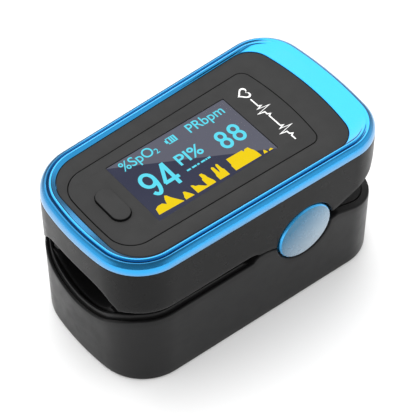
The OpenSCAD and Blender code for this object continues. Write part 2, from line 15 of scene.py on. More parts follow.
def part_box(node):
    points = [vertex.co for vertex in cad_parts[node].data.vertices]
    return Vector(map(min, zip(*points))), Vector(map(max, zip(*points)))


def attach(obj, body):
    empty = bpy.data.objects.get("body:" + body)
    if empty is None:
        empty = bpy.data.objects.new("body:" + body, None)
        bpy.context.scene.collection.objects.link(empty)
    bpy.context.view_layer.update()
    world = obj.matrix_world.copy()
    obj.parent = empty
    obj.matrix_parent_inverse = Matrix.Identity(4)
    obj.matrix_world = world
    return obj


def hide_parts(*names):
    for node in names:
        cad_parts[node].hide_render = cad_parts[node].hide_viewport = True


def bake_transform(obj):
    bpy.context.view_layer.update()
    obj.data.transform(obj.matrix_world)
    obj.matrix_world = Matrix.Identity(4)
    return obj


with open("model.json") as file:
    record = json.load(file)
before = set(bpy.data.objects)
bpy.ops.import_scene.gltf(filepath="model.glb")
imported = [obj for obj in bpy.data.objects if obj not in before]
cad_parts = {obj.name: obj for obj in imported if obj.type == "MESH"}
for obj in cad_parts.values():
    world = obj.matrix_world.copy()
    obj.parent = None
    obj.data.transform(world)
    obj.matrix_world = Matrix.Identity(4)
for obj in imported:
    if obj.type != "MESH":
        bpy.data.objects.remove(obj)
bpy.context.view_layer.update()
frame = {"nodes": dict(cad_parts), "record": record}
MM = 0.001

# ---- places read from the frame


def box_mm(node):
    lo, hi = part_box(node)
    return np.array(lo) / MM, np.array(hi) / MM


joints = {j["name"]: j for j in frame["record"]["behaviour"]["joints"]}
PIVOT = np.array(joints["jaw_hinge"]["pos_m"]) / MM
case_lo, case_hi = box_mm("lower_shell")
bezel_lo, bezel_hi = box_mm("bezel_ring")
panel_lo, panel_hi = box_mm("top_panel")
overlay_lo, _ = box_mm("panel_overlay")
lens_lo, lens_hi = box_mm("display_lens")
button_lo, button_hi = box_mm("power_button")
cap_lo, cap_hi = box_mm("pivot_cap_right")
lower_pad_lo, lower_pad_hi = box_mm("lower_pad")
upper_pad_lo, upper_pad_hi = box_mm("upper_pad")
door_lo, door_hi = box_mm("battery_door")

BEZEL_Z = box_mm("upper_shell")[1][2]
CREST_Z = bezel_hi[2]
PANEL_Z = panel_hi[2]
WALL = 1.5
FOOT = 0.6
FLOOR_Z = 1.6
FLOOR_INSET = 3.6
CASE_SCREWS_AT = ((-14, 13.3), (20, 13.85))
CAP_R = (cap_hi[0] - cap_lo[0]) / 2
RECESS_R = CAP_R + 0.3
BUTTON_X = (button_lo[0] + button_hi[0]) / 2
FLANGE_HALF = (button_hi[:2] - button_lo[:2]) / 2
KEY_HALF = FLANGE_HALF - 0.7

# ---- outlines in plan


def unit(v):
    v = np.array(v, float)
    return v / np.linalg.norm(v)


class Outline:
    """A plan outline: two straight sides, a bulged wall at each end, and tangent corner arcs."""

    def __init__(self, x0, x1, w0, w1, c0, c1, b0, b1):
        d = unit([x1 - x0, w1 - w0])
        out = np.array([-d[1], d[0]])
        self.arcs, self.side = [], []
        for rear, w, c, b in ((True, w1, c1, b1), (False, w0, c0, b0)):
            end_r = (w * w + b * b) / (2 * b)
            end_hub = np.array([x1 - end_r if rear else x0 + end_r, 0])
            start = np.array([x0, w0]) - c * out - end_hub
            bb, cc = d @ start, start @ start - (end_r - c) ** 2
            hub = end_hub + start + (-bb + (1 if rear else -1) * math.sqrt(bb * bb - cc)) * d
            turn = math.atan2(*unit(hub - end_hub)[::-1])
            side_turn = math.atan2(out[1], out[0])
            if rear:
                self.arcs += [(end_hub, end_r, 0, turn), (hub, c, turn, side_turn)]
            else:
                self.arcs += [(hub, c, side_turn, turn), (end_hub, end_r, turn, math.pi)]
            self.side.append(hub + c * out)
        self.out = out

    def loop(self, counts):
        """Points and outward normals all the way round, from the hinge end's middle by way of +Y."""
        pts, nrm = [], []
        for k, n in enumerate(counts):
            t = np.arange(n) / n
            if k == 2:
                pts.append(self.side[0] + t[:, None] * (self.side[1] - self.side[0]))
                nrm.append(np.tile(self.out, (n, 1)))
                continue
            hub, r, a0, a1 = self.arcs[k if k < 2 else k - 1]
            a = a0 + t * (a1 - a0)
            v = np.stack([np.cos(a), np.sin(a)], 1)
            pts.append(hub + r * v)
            nrm.append(v)
        hub, r, _, a1 = self.arcs[3]
        pts.append([hub + r * np.array([math.cos(a1), math.sin(a1)])])
        nrm.append([[-1.0, 0.0]])
        p, n = np.vstack(pts), np.vstack(nrm)
        flip = np.array([1, -1])
        return np.vstack([p, p[-2:0:-1] * flip]), np.vstack([n, n[-2:0:-1] * flip])


CASE = Outline(case_lo[0], case_hi[0], 15.62, 17.34, 9.9, 8.4, 2.3, 1.84)
CREST = Outline(case_lo[0] + 1.02, case_hi[0] - 1.33, 14.58, 16.3, 8.9, 7.4, 2.3, 1.84)
PANEL = Outline(case_lo[0] + 3.35, case_hi[0] - 5.9, 13.03, 14.85, 7, 4.8, 0.55, 1.97)
OVERLAY = Outline(case_lo[0] + 4.43, case_hi[0] - 11.78, 9.84, 10.97, 5, 2.1, 0.5, 1.08)


FINE_COUNTS = (150, 150, 60, 150, 150)


class Wall:
    """The case's side wall, unrolled: s runs round it and z is height."""

    def __init__(self, outline):
        p, n = outline.loop(FINE_COUNTS)
        self.p, self.n = np.vstack([p, p[:1]]), np.vstack([n, n[:1]])
        self.s = np.concatenate([[0], np.cumsum(np.linalg.norm(np.diff(self.p, axis=0), axis=1))])
        self.length = self.s[-1]
        self.half = self.length / 2

    def at(self, s, inset):
        s = np.mod(s, self.length)
        p = np.stack([np.interp(s, self.s, self.p[:, k]) for k in (0, 1)], -1)
        n = np.stack([np.interp(s, self.s, self.n[:, k]) for k in (0, 1)], -1)
        n /= np.linalg.norm(n, axis=-1, keepdims=True)
        return p - np.asarray(inset)[..., None] * n

    def s_of_x(self, x):
        on = self.s <= self.half + 1e-9
        return np.interp(-np.asarray(x, float), -self.p[on, 0], self.s[on])

    def s_of_y(self, y):
        on = (self.s <= self.half + 1e-9) & (self.p[:, 0] < 0)
        return np.interp(-np.asarray(y, float), -self.p[on, 1], self.s[on])

    def x_of_s(self, s):
        return np.interp(s, self.s, self.p[:, 0])


wall = Wall(CASE)

# ---- mesh helpers


def smooth_line(x, y, at):
    """Monotone cubic through the points (x, y), read at the places in at."""
    x, y, at = np.array(x, float), np.array(y, float), np.asarray(at, float)
    h, d = np.diff(x), np.diff(y) / np.diff(x)
    m = np.zeros(len(x))
    for i in range(1, len(x) - 1):
        if d[i - 1] * d[i] > 0:
            w1, w2 = 2 * h[i] + h[i - 1], h[i] + 2 * h[i - 1]
            m[i] = (w1 + w2) / (w1 / d[i - 1] + w2 / d[i])
    m[0], m[-1] = 0, d[-1]
    k = np.clip(np.searchsorted(x, at) - 1, 0, len(h) - 1)
    t = np.clip((at - x[k]) / h[k], 0, 1)
    return (
        (2 * t**3 - 3 * t**2 + 1) * y[k]
        + (t**3 - 2 * t**2 + t) * h[k] * m[k]
        + (-2 * t**3 + 3 * t**2) * y[k + 1]
        + (t**3 - t**2) * h[k] * m[k + 1]
    )


def rounded(points, radii, n=5):
    """A line with its corners rounded. Corners of radius 0 stay."""
    pts = np.array(points, float)
    out = [pts[0]]
    for i in range(1, len(pts) - 1):
        r = radii[i] if not np.isscalar(radii) else radii
        a, b = pts[i - 1] - pts[i], pts[i + 1] - pts[i]
        la, lb = np.linalg.norm(a), np.linalg.norm(b)
        if r <= 0 or la < 1e-9 or lb < 1e-9:
            out.append(pts[i])
            continue
        ra, rb = min(r, la * 0.45), min(r, lb * 0.45)
        p, q = pts[i] + a / la * ra, pts[i] + b / lb * rb
        for t in np.linspace(0, 1, n):
            out.append((1 - t) ** 2 * p + 2 * t * (1 - t) * pts[i] + t * t * q)
    out.append(pts[-1])
    return np.array(out)


def spaced(line, step):
    """The line with points added so that none are further apart than step."""
    out = [line[0]]
    for a, b in zip(line[:-1], line[1:]):
        n = max(1, math.ceil(np.linalg.norm(b - a) / step))
        out += [a + (b - a) * k / n for k in range(1, n + 1)]
    return np.array(out)


def rounded_loop(points, r):
    """A closed loop with rounded corners."""
    pts = [np.array(p, float) for p in points]
    return rounded([pts[-1], *pts, pts[0]], r, 6)[1:-1]


def rectangle(x0, x1, y0, y1):
    return [(x0, y0), (x1, y0), (x1, y1), (x0, y1)]


def stadium(cx, cy, half_x, half_y, inset=0.0):
    """A bar with round ends, long way along Y."""
    r = half_x - inset
    a = np.linspace(0, math.pi, 14)
    top = np.stack([cx + r * np.cos(a), cy + half_y - half_x + r * np.sin(a)], 1)
    return np.vstack([top, np.stack([2 * cx - top[:, 0], 2 * cy - top[:, 1]], 1)])


def at_z(loop, z):
    return np.column_stack([loop, np.broadcast_to(np.asarray(z, float), (len(loop),))])


def grid_faces(rows, cols, close_rows, close_cols, start=0):
    faces = []
    for k in range(rows if close_rows else rows - 1):
        a, b = start + k * cols, start + (k + 1) % rows * cols
        for i in range(cols if close_cols else cols - 1):
            j = (i + 1) % cols
            faces.append((a + i, a + j, b + j, b + i))
    return faces


def linked(name, data):
    """An object for the data, put into the scene."""
    obj = bpy.data.objects.new(name, data)
    bpy.context.scene.collection.objects.link(obj)
    return obj


def finish_mesh(mesh, sharp=35):
    """Shades the mesh smooth, with the edges over sharp degrees kept sharp."""
    mesh.polygons.foreach_set("use_smooth", [True] * len(mesh.polygons))
    mesh.set_sharp_from_angle(angle=math.radians(sharp))
    mesh.update()


def cleaned(mesh, merge, slivers=None, sharp=35):
    """Joins points closer than merge metres, turns the normals outwards and shades the mesh."""
    bm = bmesh.new()
    bm.from_mesh(mesh)
    bmesh.ops.remove_doubles(bm, verts=bm.verts, dist=merge)
    if slivers:
        bmesh.ops.dissolve_degenerate(bm, edges=bm.edges, dist=slivers)
    bmesh.ops.recalc_face_normals(bm, faces=bm.faces)
    bm.to_mesh(mesh)
    bm.free()
    finish_mesh(mesh, sharp)
    return mesh


def evaluated(obj):
    """The object's mesh as the scene shows it."""
    return bpy.data.meshes.new_from_object(obj.evaluated_get(bpy.context.evaluated_depsgraph_get()))


def mesh_of_curve(curve):
    """The curve's surface as a mesh. The curve itself is dropped."""
    obj = linked(curve.name + ".curve", curve)
    mesh = evaluated(obj)
    bpy.data.objects.remove(obj)
    bpy.data.curves.remove(curve)
    return mesh


def new_object(name, verts, faces, sharp=35):
    """A mesh object from points in millimetres."""
    mesh = bpy.data.meshes.new(name)
    mesh.from_pydata([tuple(v) for v in np.asarray(verts, float) * MM], [], faces)
    return linked(name, cleaned(mesh, 1e-6, 1e-8, sharp))


def wear(obj, look):
    """Gives the object one material."""
    obj.data.materials.clear()
    obj.data.materials.append(LOOKS[look])


def place(obj, look, body, slot, *nodes):
    """Dresses a piece, hangs it on its body, and hides the CAD nodes it stands for. The slot is not used."""
    wear(obj, look)
    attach(obj, body)
    if nodes:
        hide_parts(*nodes)


def loft(name, rings, closed_rows=False, sharp=35):
    """Skin over rings of equal length. Open stacks get flat caps."""
    rings = np.array(rings, float)
    k, n, _ = rings.shape
    faces = grid_faces(k, n, closed_rows, True)
    if not closed_rows:
        faces += [tuple(range(n)), tuple(range((k - 1) * n, k * n))]
    return new_object(name, rings.reshape(-1, 3), faces, sharp)


def bar(name, rows, sharp=35):
    """Skin over lines that run side by side round a bar, with a flat face at each of its ends."""
    k, n = len(rows), len(rows[0])
    faces = grid_faces(k, n, True, False)
    faces += [tuple(i * n for i in range(k)), tuple(i * n + n - 1 for i in range(k))]
    return new_object(name, np.vstack(rows), faces, sharp)


def lathe(name, profile, origin, axis, n=72, sharp=35):
    """Turns (radius, distance along the axis) about an axis. A radius of 0 closes an end."""
    axis = unit(axis)
    side = unit(np.cross(axis, [0, 0, 1] if abs(axis[2]) < 0.9 else [1, 0, 0]))
    up = np.cross(side, axis)
    a = np.arange(n) * 2 * math.pi / n
    rings = [
        np.array(origin) + h * axis + max(r, 1e-4) * (np.cos(a)[:, None] * side + np.sin(a)[:, None] * up)
        for r, h in profile
    ]
    return loft(name, rings, sharp=sharp)


def plate(name, loops, z0, z1, bevel):
    """A flat plate with holes and bevelled edges. The first loop is the outside."""
    curve = bpy.data.curves.new(name, "CURVE")
    curve.dimensions = "2D"
    curve.fill_mode = "BOTH"
    for loop in loops:
        spline = curve.splines.new("POLY")
        spline.points.add(len(loop) - 1)
        for p, q in zip(spline.points, loop):
            p.co = (q[0] * MM, q[1] * MM, 0, 1)
        spline.use_cyclic_u = True
    curve.extrude = ((z1 - z0) / 2 - bevel) * MM
    curve.bevel_depth = bevel * MM
    curve.bevel_resolution = 2
    curve.offset = -bevel * MM
    mesh = mesh_of_curve(curve)
    mesh.transform(Matrix.Translation((0, 0, (z0 + z1) / 2 * MM)))
    mesh.name = name
    return linked(name, cleaned(mesh, 1e-7))


def directions(path):
    t = np.gradient(path, axis=0)
    return t / np.linalg.norm(t, axis=1, keepdims=True)


def sweep(name, path, r, n):
    """A wire of radius r along a path."""
    rows, up = [], None
    a = np.arange(n) * 2 * math.pi / n
    for p, d in zip(path, directions(path)):
        if up is None:
            up = unit(np.cross(d, [0.3, 0.2, 1]))
        up = unit(up - d * (up @ d))
        rows.append([p + r * (math.cos(x) * up + math.sin(x) * np.cross(d, up)) for x in a])
    return loft(name, rows)


def ribbon(name, path, half_width, half_thick):
    """A flat strip along a path, its width along Y."""
    w = np.array([0.0, 1.0, 0.0])
    rows = []
    for p, d in zip(path, directions(path)):
        x, y = half_width * w, half_thick * unit(np.cross(d, w))
        rows.append([p - x - y, p + x - y, p + x + y, p - x + y])
    return loft(name, rows)


def joined(name, objects):
    """One object from several."""
    bpy.ops.object.select_all(action="DESELECT")
    for o in objects:
        o.select_set(True)
    bpy.context.view_layer.objects.active = objects[0]
    bpy.ops.object.join()
    objects[0].name = name
    objects[0].data.name = name
    return objects[0]


def bevelled_box(name, lo, hi, bevel, segments=2):
    lo, hi = np.array(lo, float), np.array(hi, float)
    bm = bmesh.new()
    bmesh.ops.create_cube(bm, size=1)
    for v in bm.verts:
        v.co = Vector((lo + hi) / 2 * MM) + Vector([c * s * MM for c, s in zip(v.co, hi - lo)])
    bmesh.ops.bevel(bm, geom=bm.edges, offset=bevel * MM, segments=segments, profile=0.5, affect="EDGES")
    mesh = bpy.data.meshes.new(name)
    bm.to_mesh(mesh)
    bm.free()
    finish_mesh(mesh)
    return linked(name, mesh)


def cut(obj, *cutters):
    """Takes the cutters away from obj for good."""
    for c in cutters:
        m = obj.modifiers.new("cut", "BOOLEAN")
        m.operation, m.solver, m.object = "DIFFERENCE", "EXACT", c
    bpy.context.view_layer.update()
    obj_mesh = evaluated(obj)
    obj.modifiers.clear()
    obj.data = obj_mesh
    for c in cutters:
        bpy.data.objects.remove(c)
    finish_mesh(obj_mesh)


def lettering(name, text, x0, x1, y0, y1, z0, z1, bold):
    """Text as a thin solid that fills the stated box, read along +X."""
    curve = bpy.data.curves.new(name, "FONT")
    curve.body = text
    curve.size = 1
    curve.offset = bold
    curve.extrude = 0.5
    mesh = mesh_of_curve(curve)
    co = np.array([v.co for v in mesh.vertices], float)
    lo, hi = co.min(0), co.max(0)
    to_lo, to_hi = np.array([x0, y0, z0]), np.array([x1, y1, z1])
    co = (co - lo) / (hi - lo) * (to_hi - to_lo) + to_lo
    mesh.vertices.foreach_set("co", (co * MM).astype(np.float32).ravel())
    return linked(name, cleaned(mesh, 1e-7))


def flat_shape(name, loop, z0, z1):
    return loft(name, [at_z(loop, z0), at_z(loop, z1)])


def stroke(name, points, w, z0, z1):
    """A flat line of width w through the points, with square ends."""
    p = np.array(points, float)
    seg = np.diff(p, axis=0)
    seg /= np.linalg.norm(seg, axis=1, keepdims=True)
    nrm = np.stack([-seg[:, 1], seg[:, 0]], 1)
    side = np.vstack([nrm[:1], (nrm[1:] + nrm[:-1]), nrm[-1:]])
    side /= np.linalg.norm(side, axis=1, keepdims=True)
    grow = np.ones(len(p))
    grow[1:-1] = 1 / np.clip(np.sum(side[1:-1] * nrm[1:], axis=1), 0.45, 1)
    off = side * grow[:, None] * w / 2
    return bar(name, [at_z(p + off, z0), at_z(p - off, z0), at_z(p - off, z1), at_z(p + off, z1)])

# ---- materials


def add(tree, kind, sockets, **settings):
    """A shader node. A socket given another node's output is linked, and any other value is set on it."""
    n = tree.nodes.new("ShaderNode" + kind)
    for key, v in settings.items():
        setattr(n, key, v)
    for key, v in sockets.items():
        if isinstance(v, bpy.types.NodeSocket):
            tree.links.new(v, n.inputs[key])
        else:
            n.inputs[key].default_value = v
    return n


def new_material(name):
    m = bpy.data.materials.new(name)
    m.use_nodes = True
    m.node_tree.nodes.clear()
    return m, m.node_tree


def finished(material, kind, sockets):
    """The material, with a last shader node that feeds its output."""
    tree = material.node_tree
    add(tree, "OutputMaterial", {"Surface": add(tree, kind, sockets).outputs[0]})
    return material


def place_in_object(tree):
    return add(tree, "TexCoord", {}).outputs["Object"]


def rgba(colour):
    return (*colour[:3], 1)


def noise(tree, scale, detail=3.0, stretch=None):
    """Noise in object space. Scale is in features per metre."""
    where = place_in_object(tree)
    if stretch:
        where = add(tree, "Mapping", {"Scale": stretch, "Vector": where}).outputs["Vector"]
    return add(tree, "TexNoise", {"Scale": scale, "Detail": detail, "Vector": where}).outputs["Fac"]


def ranged(tree, value, low, high, start=0.3, end=0.7):
    """The value, with start to end stretched to low to high."""
    limits = {"From Min": start, "From Max": end, "To Min": low, "To Max": high}
    return add(tree, "MapRange", {**limits, "Value": value}).outputs["Result"]


def mixed(tree, factor, a, b):
    """A colour between a and b. The colour sockets of a Mix node are the sixth and the seventh."""
    a, b = [c if isinstance(c, bpy.types.NodeSocket) else rgba(c) for c in (a, b)]
    return add(tree, "Mix", {"Factor": factor, 6: a, 7: b}, data_type="RGBA").outputs[2]


def bumped(tree, height, strength, depth_mm):
    sockets = {"Strength": strength, "Distance": depth_mm * MM, "Height": height}
    return add(tree, "Bump", sockets).outputs["Normal"]


def surface(name, colour, rough, metal=0.0, vary=0.12, grain=7000.0, bump=0.25, depth=0.012, coat=0.0,
            specular=0.5, stretch=None, patch=180.0, sheen=0.0, dust=0.0):
    """A finished surface: patchy colour and gloss, a fine grain, and specks of dust."""
    m, t = new_material(name)
    c = np.array(colour, float)
    tint = mixed(t, ranged(t, noise(t, patch, 4.0), 0, 1), c * (1 - vary), np.minimum(c * (1 + vary), 1))
    if dust:
        tint = mixed(t, ranged(t, noise(t, 2600.0, 1.0), 0, dust, 0.62, 0.78), tint, (0.5, 0.49, 0.47))
    return finished(m, "BsdfPrincipled", {
        "Base Color": tint,
        "Roughness": ranged(t, noise(t, patch * 2.3, 5.0), max(rough - 0.05, 0.02), rough + 0.06),
        "Normal": bumped(t, noise(t, grain, 2.0, stretch), bump, depth),
        "Metallic": metal,
        "Specular IOR Level": specular,
        "Coat Weight": coat,
        "Coat Roughness": 0.08,
        "Sheen Weight": sheen,
    })


def paint(name, deep, pale, rough):
    """Metallic paint under lacquer, paler as it turns away, and darkened by painted shade where the mesh's shade
    attribute marks it.
    """
    m, t = new_material(name)
    facing = add(t, "LayerWeight", {"Blend": 0.5}).outputs["Facing"]
    shade = add(t, "Attribute", {}, attribute_name="shade").outputs["Fac"]
    flake = ranged(t, noise(t, 16000.0, 2.0), 0.96, 1.04)
    # painted shade: where the shade attribute is 1 the colour falls to 0.3 of itself
    factors = {0: flake, 1: ranged(t, shade, 1, 0.3, 0, 1)}
    level = add(t, "Math", factors, operation="MULTIPLY").outputs["Value"]
    colour = mixed(t, ranged(t, facing, 0, 1, 0.25, 0.5), deep, pale)
    tint = add(t, "VectorMath", {0: colour, "Scale": level}, operation="SCALE").outputs["Vector"]
    return finished(m, "BsdfPrincipled", {
        "Base Color": tint,
        "Roughness": ranged(t, noise(t, 400.0, 5.0), rough - 0.03, rough + 0.04),
        "Metallic": 0.95,
        "Coat Weight": 0.2,
        "Coat Roughness": 0.06,
    })


def disc_metal_painted_reflection():
    """Blue anodised metal with a painted reflection that fades it from dark blue to silver across the disc, and
    a bright blue bevel.
    """
    m, t = new_material("blue_disc_painted_reflection")

    def vector(operation, a, b=(0, 0, 0)):
        return add(t, "VectorMath", {0: a, 1: b}, operation=operation).outputs

    centred = vector("SUBTRACT", place_in_object(t), (PIVOT[0] * MM, 0, PIVOT[2] * MM))["Vector"]
    flat = vector("MULTIPLY", centred, (1, 0, 1))["Vector"]
    across = vector("DOT_PRODUCT", flat, (0.55, 0, -0.83))["Value"]
    radius = vector("LENGTH", flat)["Value"]
    # painted reflection: dark blue at the top towards the finger end, silver at the bottom towards the hinge end
    fade = ranged(t, across, 0, 1, -0.65 * CAP_R * MM, 1.3 * CAP_R * MM)
    rim = ranged(t, radius, 0, 1, (CAP_R - 0.3) * MM, (CAP_R - 0.26) * MM)
    face = mixed(t, fade, (0.005, 0.14, 0.27), (0.46, 0.54, 0.61))
    return finished(m, "BsdfPrincipled", {
        "Base Color": mixed(t, rim, face, (0.03, 0.36, 0.75)),
        "Roughness": ranged(t, noise(t, 500.0, 5.0), 0.24, 0.32),
        "Normal": bumped(t, noise(t, 9000.0, 2.0), 0.01, 0.002),
        "Metallic": 0.85,
        "Coat Weight": 0.5,
    })


def lit(material, colour, base, rough):
    """The material, as a surface that gives off the colour and reflects almost nothing."""
    return finished(material, "BsdfPrincipled", {
        "Emission Color": colour,
        "Emission Strength": 1.0,
        "Base Color": rgba(base),
        "Roughness": rough,
        "Specular IOR Level": 0.0,
    })


def glowing(name, colour):
    """Display elements that give off light, with a faint pixel grid."""
    m, t = new_material(name)
    grid = add(t, "TexWave", {"Scale": 2500.0, "Vector": place_in_object(t)}).outputs["Fac"]
    c = np.array(colour)
    return lit(m, mixed(t, grid, c * 0.94, c), (0.01, 0.01, 0.01), 0.5)


def display_face_painted_glare():
    """The dark display, with the half past a diagonal line painted paler as a painted reflection of glare."""
    m, t = new_material("display_face_painted_glare")
    at = add(t, "SeparateXYZ", {"Vector": place_in_object(t)}).outputs
    slope = (lens_hi[1] - lens_lo[1]) / (lens_hi[0] - lens_lo[0])
    line = add(t, "Math", {0: at["X"], 1: slope, 2: at["Y"]}, operation="MULTIPLY_ADD").outputs["Value"]
    middle = slope * (lens_lo[0] + lens_hi[0]) / 2 * MM
    # painted reflection: the face turns paler across the diagonal line
    sheen = ranged(t, line, 0, 1, middle - 0.06 * MM, middle + 0.06 * MM)
    dim = mixed(t, ranged(t, noise(t, 90.0), 0, 1), (0.045, 0.048, 0.080), (0.052, 0.056, 0.090))
    return lit(m, mixed(t, sheen, dim, (0.132, 0.135, 0.168)), (0.004, 0.004, 0.006), 0.4)


def clear(name, tint, rough, gloss):
    """A clear window: light goes straight through, with a Fresnel reflection on top."""
    m, t = new_material(name)
    shine = add(t, "BsdfPrincipled", {
        "Base Color": (0.02, 0.02, 0.025, 1),
        "Roughness": ranged(t, noise(t, 260.0), rough, rough + 0.05),
        "Normal": bumped(t, noise(t, 900.0), 0.05, 0.004),
    })
    facing = add(t, "LayerWeight", {"Blend": 0.5}).outputs["Facing"]
    return finished(m, "MixShader", {
        "Fac": ranged(t, facing, 0.004, gloss, 0.3, 1),
        1: add(t, "BsdfTransparent", {"Color": rgba(tint)}).outputs["BSDF"],
        2: shine.outputs["BSDF"],
    })


BLACK = dict(vary=0.08, bump=0.12, depth=0.008, sheen=0.035, dust=0.004)
FILM = dict(grain=9000, bump=0.15, depth=0.008, specular=0.2)
LOOKS = {
    "shell": surface("satin_black_shell", (0.005, 0.005, 0.0052), 0.33, specular=0.13, **BLACK),
    # painted shade: the upper shell wears a darker, less glossy copy of the shell's black
    "upper": surface("satin_black_shell_painted_shade", (0.003, 0.003, 0.0031), 0.3, specular=0.08, **BLACK),
    "frame": surface("matt_black_frame", (0.006, 0.006, 0.0062), 0.55, vary=0.15, specular=0.15),
    "pad": surface("black_silicone", (0.004, 0.004, 0.0042), 0.6, vary=0.2, bump=0.3, depth=0.02,
                   specular=0.12, sheen=0.01, dust=0.008),
    "blue": paint("blue_metallic_paint", (0.03, 0.33, 0.70), (0.14, 0.34, 0.58), 0.18),
    "cap": disc_metal_painted_reflection(),
    "panel": surface("matt_panel_film", (0.028, 0.028, 0.028), 0.62, vary=0.04, dust=0.004, **FILM),
    "button": surface("button_rubberised", (0.026, 0.026, 0.026), 0.58, vary=0.06, **FILM),
    "ink": surface("white_ink", (0.82, 0.82, 0.81), 0.55, vary=0.04, grain=9000, bump=0.3, depth=0.006),
    "steel": surface("zinc_steel", (0.5, 0.5, 0.51), 0.34, metal=1.0, grain=3000, bump=0.15),
    "wire": surface("drawn_wire", (0.42, 0.42, 0.44), 0.28, metal=1.0, vary=0.15, grain=5000, bump=0.2,
                    stretch=(1, 1, 0.2)),
    "nickel": surface("nickel_spring", (0.62, 0.58, 0.5), 0.3, metal=1.0, vary=0.1, grain=4000, bump=0.1),
    "board": surface("solder_mask", (0.008, 0.11, 0.045), 0.3, vary=0.35, patch=900, grain=3000, bump=0.3,
                     depth=0.02, coat=0.4),
    "chip": surface("moulded_package", (0.015, 0.015, 0.016), 0.5, vary=0.2, bump=0.3),
    "can": surface("stamped_can", (0.55, 0.55, 0.55), 0.33, metal=1.0, vary=0.1, grain=2500, bump=0.15),
    "ferrite": surface("ferrite", (0.04, 0.04, 0.042), 0.65, vary=0.25, bump=0.5, depth=0.03),
    "tan": surface("ceramic_chips", (0.42, 0.26, 0.12), 0.4, vary=0.2, bump=0.1),
    "cream": surface("cream_nylon", (0.62, 0.57, 0.44), 0.45, vary=0.08, bump=0.15),
    "white": surface("white_moulding", (0.68, 0.68, 0.66), 0.5, vary=0.05, bump=0.15),
    "film": surface("polyimide_film", (0.42, 0.16, 0.02), 0.25, vary=0.18, patch=1400, grain=6000, bump=0.1,
                    coat=0.3),
    "foam": surface("foam_gasket", (0.012, 0.012, 0.012), 0.9, vary=0.3, grain=5000, bump=0.8, depth=0.06),
    "glass_dark": surface("display_glass", (0.006, 0.006, 0.012), 0.1, vary=0.2, grain=600, bump=0.02,
                          depth=0.004),
    "led": surface("led_body", (0.72, 0.68, 0.6), 0.3, vary=0.06, bump=0.1),
    "die": surface("sensor_epoxy", (0.02, 0.008, 0.035), 0.12, vary=0.25, bump=0.05),
    "jacket": surface("cell_jacket", (0.16, 0.17, 0.19), 0.3, metal=0.6, vary=0.1, grain=2500, bump=0.06,
                      coat=0.4),
    "jacket_band": surface("cell_band", (0.62, 0.34, 0.12), 0.26, metal=0.8, vary=0.08, grain=2500,
                           bump=0.06, coat=0.4),
    "cyan": glowing("lit_cyan", (0.13, 0.83, 1.0)),
    "yellow": glowing("lit_yellow", (1.0, 0.72, 0.0)),
    "display": display_face_painted_glare(),
    "lens": clear("smoked_lens", (0.97, 0.97, 0.98), 0.12, 0.5),
    "window": clear("clear_window", (0.8, 0.82, 0.85), 0.1, 0.7),
}

# ---- case walls


def closed_edge(half_line):
    """A full turn of (s, z) from the half that runs from the hinge end's middle to the finger end's middle."""
    line = spaced(np.array(half_line), 0.7)
    back = line[-2:0:-1].copy()
    back[:, 0] = wall.length - back[:, 0]
    return np.vstack([line, back])


def edge_normals(line, up):
    """Unit directions in the unrolled wall that point into the material."""
    span = np.roll(line, -1, 0) - np.roll(line, 1, 0)
    span[:, 0] = (span[:, 0] + wall.length / 2) % wall.length - wall.length / 2
    span /= np.linalg.norm(span, axis=1, keepdims=True)
    m = np.stack([-span[:, 1], span[:, 0]], 1)
    return m if up else -m


def wall_ring(s, z, inset):
    """Points at the places s and z on the wall, set in from its face."""
    return at_z(wall.at(s, inset), z)


def into(line, m, distance):
    """The line, moved into the material."""
    return line + m * np.reshape(distance, (-1, 1))


# Inset from the outer face, and depth below the edge
GROOVE_AND_LIP = ((0.46, 0.1), (0.5, 0.7), (0.8, 0.7), (0.82, -0.75), (0.9, -0.95), (1.05, -1.0), (1.25, -0.95))
INNER_R = 0.2
FACE_STEPS = np.linspace(0, 1, 12)


def rolled_edge(line, m, depth, width, lip=None):
    """Rings over a wall's edge, from its outer to its inner face, with a grooved lip if one is given."""
    places = [(depth * (1 - math.sin(f)), width * (1 - math.cos(f))) for f in np.linspace(0, math.pi / 2, 6)]
    if lip is not None:
        places += [(down * lip, inset) for inset, down in GROOVE_AND_LIP]
    for f in np.linspace(0, math.pi / 2, 4):
        places.append((INNER_R * (1 - math.cos(f)), WALL - INNER_R + INNER_R * math.sin(f)))
    return [wall_ring(*into(line, m, a).T, inset) for a, inset in places]


def wall_face(line, start, z_end, inset, fractions):
    """Rings on a wall's face, from the line start to the height z_end straight above or below the edge."""
    rings = []
    for f in fractions:
        s = start[:, 0] + (line[:, 0] - start[:, 0]) * f
        rings.append(wall_ring(s, start[:, 1] + (z_end - start[:, 1]) * f, inset))
    return rings


def recess_arc(a0, a1):
    """The round recess for the side disc, between two angles in degrees."""
    a = np.radians(np.linspace(a0, a1, 34))
    x, z = PIVOT[0] + RECESS_R * np.cos(a), PIVOT[2] + RECESS_R * np.sin(a)
    return np.column_stack([wall.s_of_x(x), z])


def side_points(xz):
    return np.array([[float(wall.s_of_x(x)), z] for x, z in xz])


def along_rear(x_stop, z_stop, slope):
    """A straight edge of the rear wedge, from the hinge end's middle to x_stop."""
    s = np.linspace(0, float(wall.s_of_x(x_stop)), 40)
    return np.column_stack([s, z_stop + (wall.x_of_s(s) - x_stop) * slope])


def across_finger(reach, shape):
    """The edge across the finger end, from reach to the middle, at the heights of the shape."""
    y = np.linspace(reach, 0, 46)
    return np.column_stack([wall.s_of_y(y), smooth_line(*shape, y)])


# Distance from the middle, and height, across the finger end
ARCH = ((0, 2.5, 5.1, 7.5, 9.4, 10.4, 10.75), (24.15, 24.1, 23.8, 23.0, 21.25, 20.0, 19.5))
SCOOP = ((0, 1.5, 4.3, 6.9, 9.1, 10.9, 12.35, 13.6), (13.1, 13.2, 13.65, 14.55, 15.8, 16.7, 17.2, 17.6))


